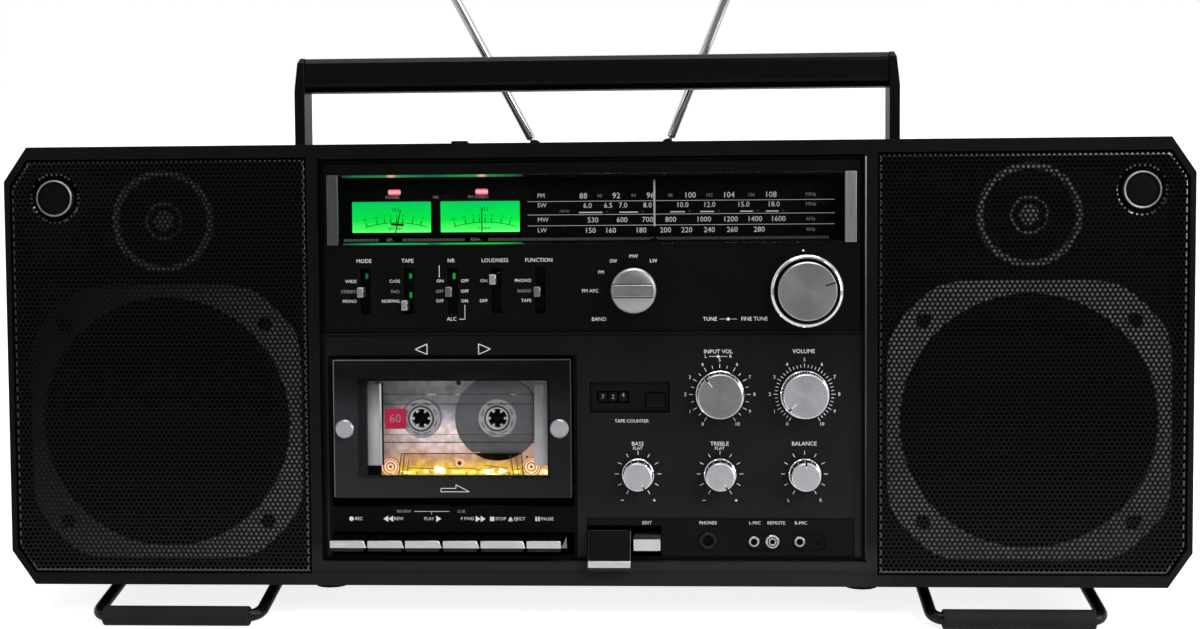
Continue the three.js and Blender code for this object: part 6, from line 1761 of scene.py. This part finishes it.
flare = glow("deck_lamp_flare", "Z", 58, 66, [
    (0, (1, 0.72, 0.08)), (0.35, (1, 0.9, 0.3)), (0.6, (1, 0.95, 0.62)), (1, (1, 0.7, 0.25)),
], 3, wobble=0.2, wobble_scale=300)
SCREEN_FLARE = 23.74
for name, body, depth, thick, spots in (
    ("deck_lamp_flares", "cassette_door", shell_back - 2, 0.5, (
        (-97.2, 59.4, 2, 0.6), (-86.2, 62.9, 2.9, 1.7), (-84, 61.2, 1.4, 0.8), (-58.4, 61.6, 3.4, 1.5),
        (-56, 60, 2.2, 0.8), (-50.6, 61.9, 2.4, 1.3), (-34.6, 60.2, 2.3, 0.8), (-26.6, 61.6, 1.2, 1.2),
        (-93, 62, 1.2, 0.7), (-111.6, 60.2, 1.2, 0.8),
    )),
    ("deck_screen_flares", "cabinet", SCREEN_FLARE, 0.06, (
        (-105.9, 59.7, 3.2, 0.8), (-77, 59.8, 4, 0.7), (-68.6, 60, 1.8, 0.6), (-43.6, 59.9, 2.2, 0.8),
    )),
):
    flares = plates(*((blob(*spot, n * 1.7), depth, depth + thick) for n, spot in enumerate(spots)))
    piece(name, flares, body, flare)
glint_pink = glow("shell_rib_glint", "X", -112, -38, [
    (0, (0.9, 0.5, 0.36)), (0.3, (1, 0.62, 0.5)), (0.6, (1, 0.66, 0.6)), (1, (0.8, 0.48, 0.42)),
], 0.9, wobble=0.1)
GLINT_HALF, GLINT_PROUD = 0.14, 0.1
glints = plates(*(
    (strip(x0, x1, z - GLINT_HALF, z + GLINT_HALF), shell_front - GLINT_PROUD, shell_front)
    for x0, x1, z in (
        (-91.4, -86, 105.7), (-75.6, -73, 105.7), (-44.8, -42, 105.7), (-51, -44, 84),
        (-107, -98, 84), (-91.5, -86, 84.4), (-98.4, -96.6, 80.4), (-92.4, -90.6, 80.4),
        (-86.8, -84.2, 80.4), (-109.4, -107.8, 79.6), (-106, -62, 73.4), (-98, -84, 76.6),
        (-101, -90, 74.9),
    )
))
shell_piece("cassette_rib_glints", glints, glint_pink)
print("cassette detailed")

# %% [markdown]
# ## Handle, tilt feet and antennas
# The handle is a padded grip between two bent steel arms. Its solids are right already, so they
# only get their enamel and wide softened edges.

# %% Handle
dress("handle_frame", handle_black, 0.9, 3)
dress("handle_grip", handle_black, 1.6, 4)
print("handle dressed")

# %% [markdown]
# ### Tilt feet
# Two wire bails with soft sleeves fold out under the front and lift it. A bail is one wire: out
# of its pivot, forward and down, round a bend, across and back again. So its path is drawn as
# two legs with an eased corner each, and the wire follows that path.

# %% Tilt feet
BAIL_HALF, BAIL_RADIUS, BAIL_FORWARD, BAIL_DROP, BAIL_CORNER, BAIL_SPLAY = 46.2, 3.4, 66, 16, 10, 0.2
BAIL_EYE, PIN_RADIUS = 2 * BAIL_RADIUS, 2
BAIL_FROM_MIDDLE, PIVOT_DEPTH, PIVOT_UP = 232.5, 66, -1.5


def bail_leg(end):
    """One leg of a bail from its pivot to the middle of its eased corner."""
    leg = Vector((end * BAIL_SPLAY, -BAIL_FORWARD, -BAIL_DROP))
    top = Vector((end * BAIL_HALF, 0, 0))
    corner = top + leg
    before = corner - leg.normalized() * BAIL_CORNER
    after = corner - Vector((end * BAIL_CORNER, 0, 0))
    points = [top, top.lerp(before, 0.5)]
    for i in range(11):
        t = i / 10
        points.append(before * (1 - t) ** 2 + corner * 2 * t * (1 - t) + after * t * t)
    return points


for name, side in (("left", -1), ("right", 1)):
    node = f"foot_bail_{name}"
    x = side * BAIL_FROM_MIDDLE
    path = bail_leg(-1) + bail_leg(1)[::-1]
    wire = bmesh.new()
    bend_wire(wire, [at(x + p.x, PIVOT_DEPTH + p.y, PIVOT_UP + p.z) for p in path], BAIL_RADIUS)
    for end in (-1, 1):
        pin = at(x + end * (BAIL_HALF - BAIL_RADIUS), PIVOT_DEPTH, PIVOT_UP)
        turn_on_lathe(wire, [
            (0, 0), (BAIL_RADIUS, 0), (BAIL_RADIUS, BAIL_EYE), (PIN_RADIUS, BAIL_EYE), (PIN_RADIUS, 9.75),
            (0, 9.75),
        ], pin, (end, 0, 0), 24)
    piece(f"bail_wire_{name}", wire, bodies[node], wire_black, (node,))
    sleeve = turned(at(x, PIVOT_DEPTH - BAIL_FORWARD, PIVOT_UP - BAIL_DROP), [
        (3.5, -41), (5.1, -41), (5.5, -40.5), (5.5, 40.5), (5.1, 41), (3.5, 41), (3.5, -41),
    ], axis=(1, 0, 0), steps=40)
    piece(f"bail_sleeve_{name}", sleeve, bodies[node], rubber_black)
print("tilt feet bent")

# %% [markdown]
# ### Antennas
# Each antenna leans outwards from a turret on the top: a wide tube that tilts in its knuckle,
# and a thinner mast that slides out of it and ends in a button. Both are turned round the
# antenna's own leaning axis, in chrome with faint streaks along the draw.

# %% Antennas
streaky_chrome = metal("drawn_chrome_tube", (0.62, 0.63, 0.65), 0.12, 500, 0.0004, (1, 1, 0.04))
KNUCKLE = (0, -1, 0)
for name, side, lean in (("left", -1, 28), ("right", 1, 22)):
    dress(f"antenna_base_{name}", gloss_black, 0.3)
    pivot = Vector((side * 0.042, 0.067, 0.2506))
    axis = Vector((side * math.sin(math.radians(lean)), 0, math.cos(math.radians(lean))))
    tube = turned(pivot, [
        (0, 5.2), (2.3, 5.2), (2.9, 5.8), (3, 6.6), (3, 189), (2.8, 190), (2.2, 190), (2.2, 180), (0, 180),
    ], axis=axis, steps=32)
    turn_on_lathe(tube, [
        (0, -1.45), (3.4, -1.45), (3.8, -1.1), (3.8, 1.1), (3.4, 1.45), (0, 1.45),
    ], pivot, KNUCKLE, 32)
    turn_on_lathe(tube, [(0, -2), (1.45, -2), (1.45, 6.4), (0, 6.4)], pivot, axis, 16)
    node = f"antenna_tube_{name}"
    piece(f"antenna_outer_{name}", tube, bodies[node], streaky_chrome, (node,))
    mast = turned(pivot, [
        (0, 22), (2, 22), (2, 190.5), (3, 190.6), (3.2, 191), (3.2, 196.2), (2.7, 196.9), (0, 196.9),
    ], axis=axis, steps=32)
    node = f"antenna_mast_{name}"
    piece(f"antenna_inner_{name}", mast, bodies[node], streaky_chrome, (node,))
print("antennas drawn")

# %% [markdown]
# ### Painted highlight line
# A hair of metal where the panels meet the right loudspeaker bay stands in for the glint on the
# panel's edge: a painted highlight. Its tone is a painted reflection of the room above and the
# dark floor below, graded from bottom to top.

# %% Painted highlight line
highlight_strip = plates((strip(149.55, 150, 15, 235), -0.05, 2.9))
painted_highlight_finish = graded("painted_reflection_line_finish", "Z", 15, 235, [
    (0, 0.02), (0.22, (0.04, 0.04, 0.042)), (0.36, (0.1, 0.1, 0.105)), (0.5, (0.07, 0.07, 0.073)),
    (0.62, (0.1, 0.1, 0.105)), (0.75, (0.2, 0.2, 0.21)), (0.88, (0.32, 0.33, 0.34)), (1, (0.5, 0.51, 0.53)),
], 0.4)
piece("right_painted_highlight_line", highlight_strip, "cabinet", painted_highlight_finish)
print("trim laid")

# %% [markdown]
# ## The stage
# The recorder stands on its rear feet and its two wire bails, so the floor passes under both.
# The floor is plain and pale and keeps the soft shadow under the cabinet. Seen straight on it
# grows whiter away from the middle, until it can't be told from the white surround, and to
# everything else it is an ordinary matt surface that shines a little in mirrors.

# %% Floor
def stage_finish(name, colour, near, far, mirrored):
    """White to the eye, growing whiter away from the middle, and an ordinary surface to all else."""
    finish, tree, shader = new_finish(name)
    reach = tree.nodes.new("ShaderNodeVectorMath")
    reach.operation = "LENGTH"
    tree.links.new(place_of(tree), reach.inputs[0])
    seen = between(tree, reach.outputs["Value"], near, far, 0.5, 1.6)
    light = tree.nodes.new("ShaderNodeLightPath")
    eye = combine(tree, "MULTIPLY", light.outputs["Is Camera Ray"], seen)
    mirror = combine(tree, "MULTIPLY", light.outputs["Is Glossy Ray"], mirrored)
    fill(tree, shader, {
        "Base Color": mottled(tree, colour, 3, 2, 0.99, 1),
        "Roughness": 1,
        "Specular IOR Level": 0,
        "Emission Color": (1, 1, 1, 1),
        "Emission Strength": combine(tree, "ADD", eye, mirror),
    })
    return finish


front_touch = Vector((0, FRONT, -0.023))
rear_touch = Vector((0, FRONT + 0.137, -0.005))
slope = (rear_touch.z - front_touch.z) / (rear_touch.y - front_touch.y)
ground = bmesh.new()
ground.faces.new([
    ground.verts.new((x, y, front_touch.z + slope * (y - front_touch.y)))
    for x, y in ((-9, -6), (9, -6), (9, 9), (-9, 9))
])
skin = bpy.data.meshes.new("floor")
ground.to_mesh(skin)
ground.free()
floor = bpy.data.objects.new("floor", skin)
skin.materials.append(stage_finish("pale_floor", (0.86, 0.86, 0.86), 0.84, 1.05, 0.25))
bpy.context.scene.collection.objects.link(floor)
print("floor slope", round(math.degrees(math.atan(slope)), 2), "degrees")

# %% [markdown]
# ### Surround and lamps
# The surround is white to the eye and through the clear sheets. To a mirror it is white behind
# and beside the recorder and dim in front of it, so the polished parts stay black, and it lights
# the rest only weakly. One broad lamp at the upper right makes the bright side of the knobs, a
# tall narrow one on the right grazes the grilles, one above lights the top edges, and a weak one
# fills from the left.

# %% Surround and lamps
world = bpy.data.worlds.new("white_surround")
world.use_nodes = True
bpy.context.scene.world = world
tree = world.node_tree
light = tree.nodes.new("ShaderNodeLightPath")
heading = tree.nodes.new("ShaderNodeTexCoord")
parts = tree.nodes.new("ShaderNodeSeparateXYZ")
tree.links.new(heading.outputs["Generated"], parts.inputs["Vector"])
behind = between(tree, parts.outputs["Y"], 0, 1, -0.6, 0)
mirrored = combine(tree, "MULTIPLY", light.outputs["Is Glossy Ray"], behind)
seen = combine(tree, "MAXIMUM", light.outputs["Is Camera Ray"], light.outputs["Is Transmission Ray"])
shown = combine(tree, "MAXIMUM", seen, mirrored)
fill(tree, tree.nodes["Background"], {"Strength": between(tree, shown, 0.25, 1), "Color": (1, 1, 1, 1)})


def lamp(name, place, target, size, power, height):
    light = bpy.data.lights.new(name, "AREA")
    light.energy = power
    light.shape = "RECTANGLE"
    light.size = size
    light.size_y = height
    holder = bpy.data.objects.new(name, light)
    holder.location = place
    holder.rotation_euler = (Vector(target) - Vector(place)).to_track_quat("-Z", "Y").to_euler()
    bpy.context.scene.collection.objects.link(holder)


lamp("key_lamp", (1.1, -1.5, 1.3), (0, 0, 0.1), 0.9, 17.5, 0.7)
lamp("fill_lamp", (-1.4, -1.5, 0.7), (0, 0, 0.1), 0.8, 3, 0.8)
lamp("side_lamp", (1.8, -0.8, 0.6), (0.2, -0.05, 0.12), 0.25, 12, 0.9)
lamp("top_lamp", (0.1, -0.35, 1.8), (0, 0, 0.1), 1.6, 12, 0.5)

# %% [markdown]
# ## Finish
# The colours are shown as they are, with no film curve over them.

# %% Colour view
bpy.context.scene.view_settings.view_transform = "Standard"
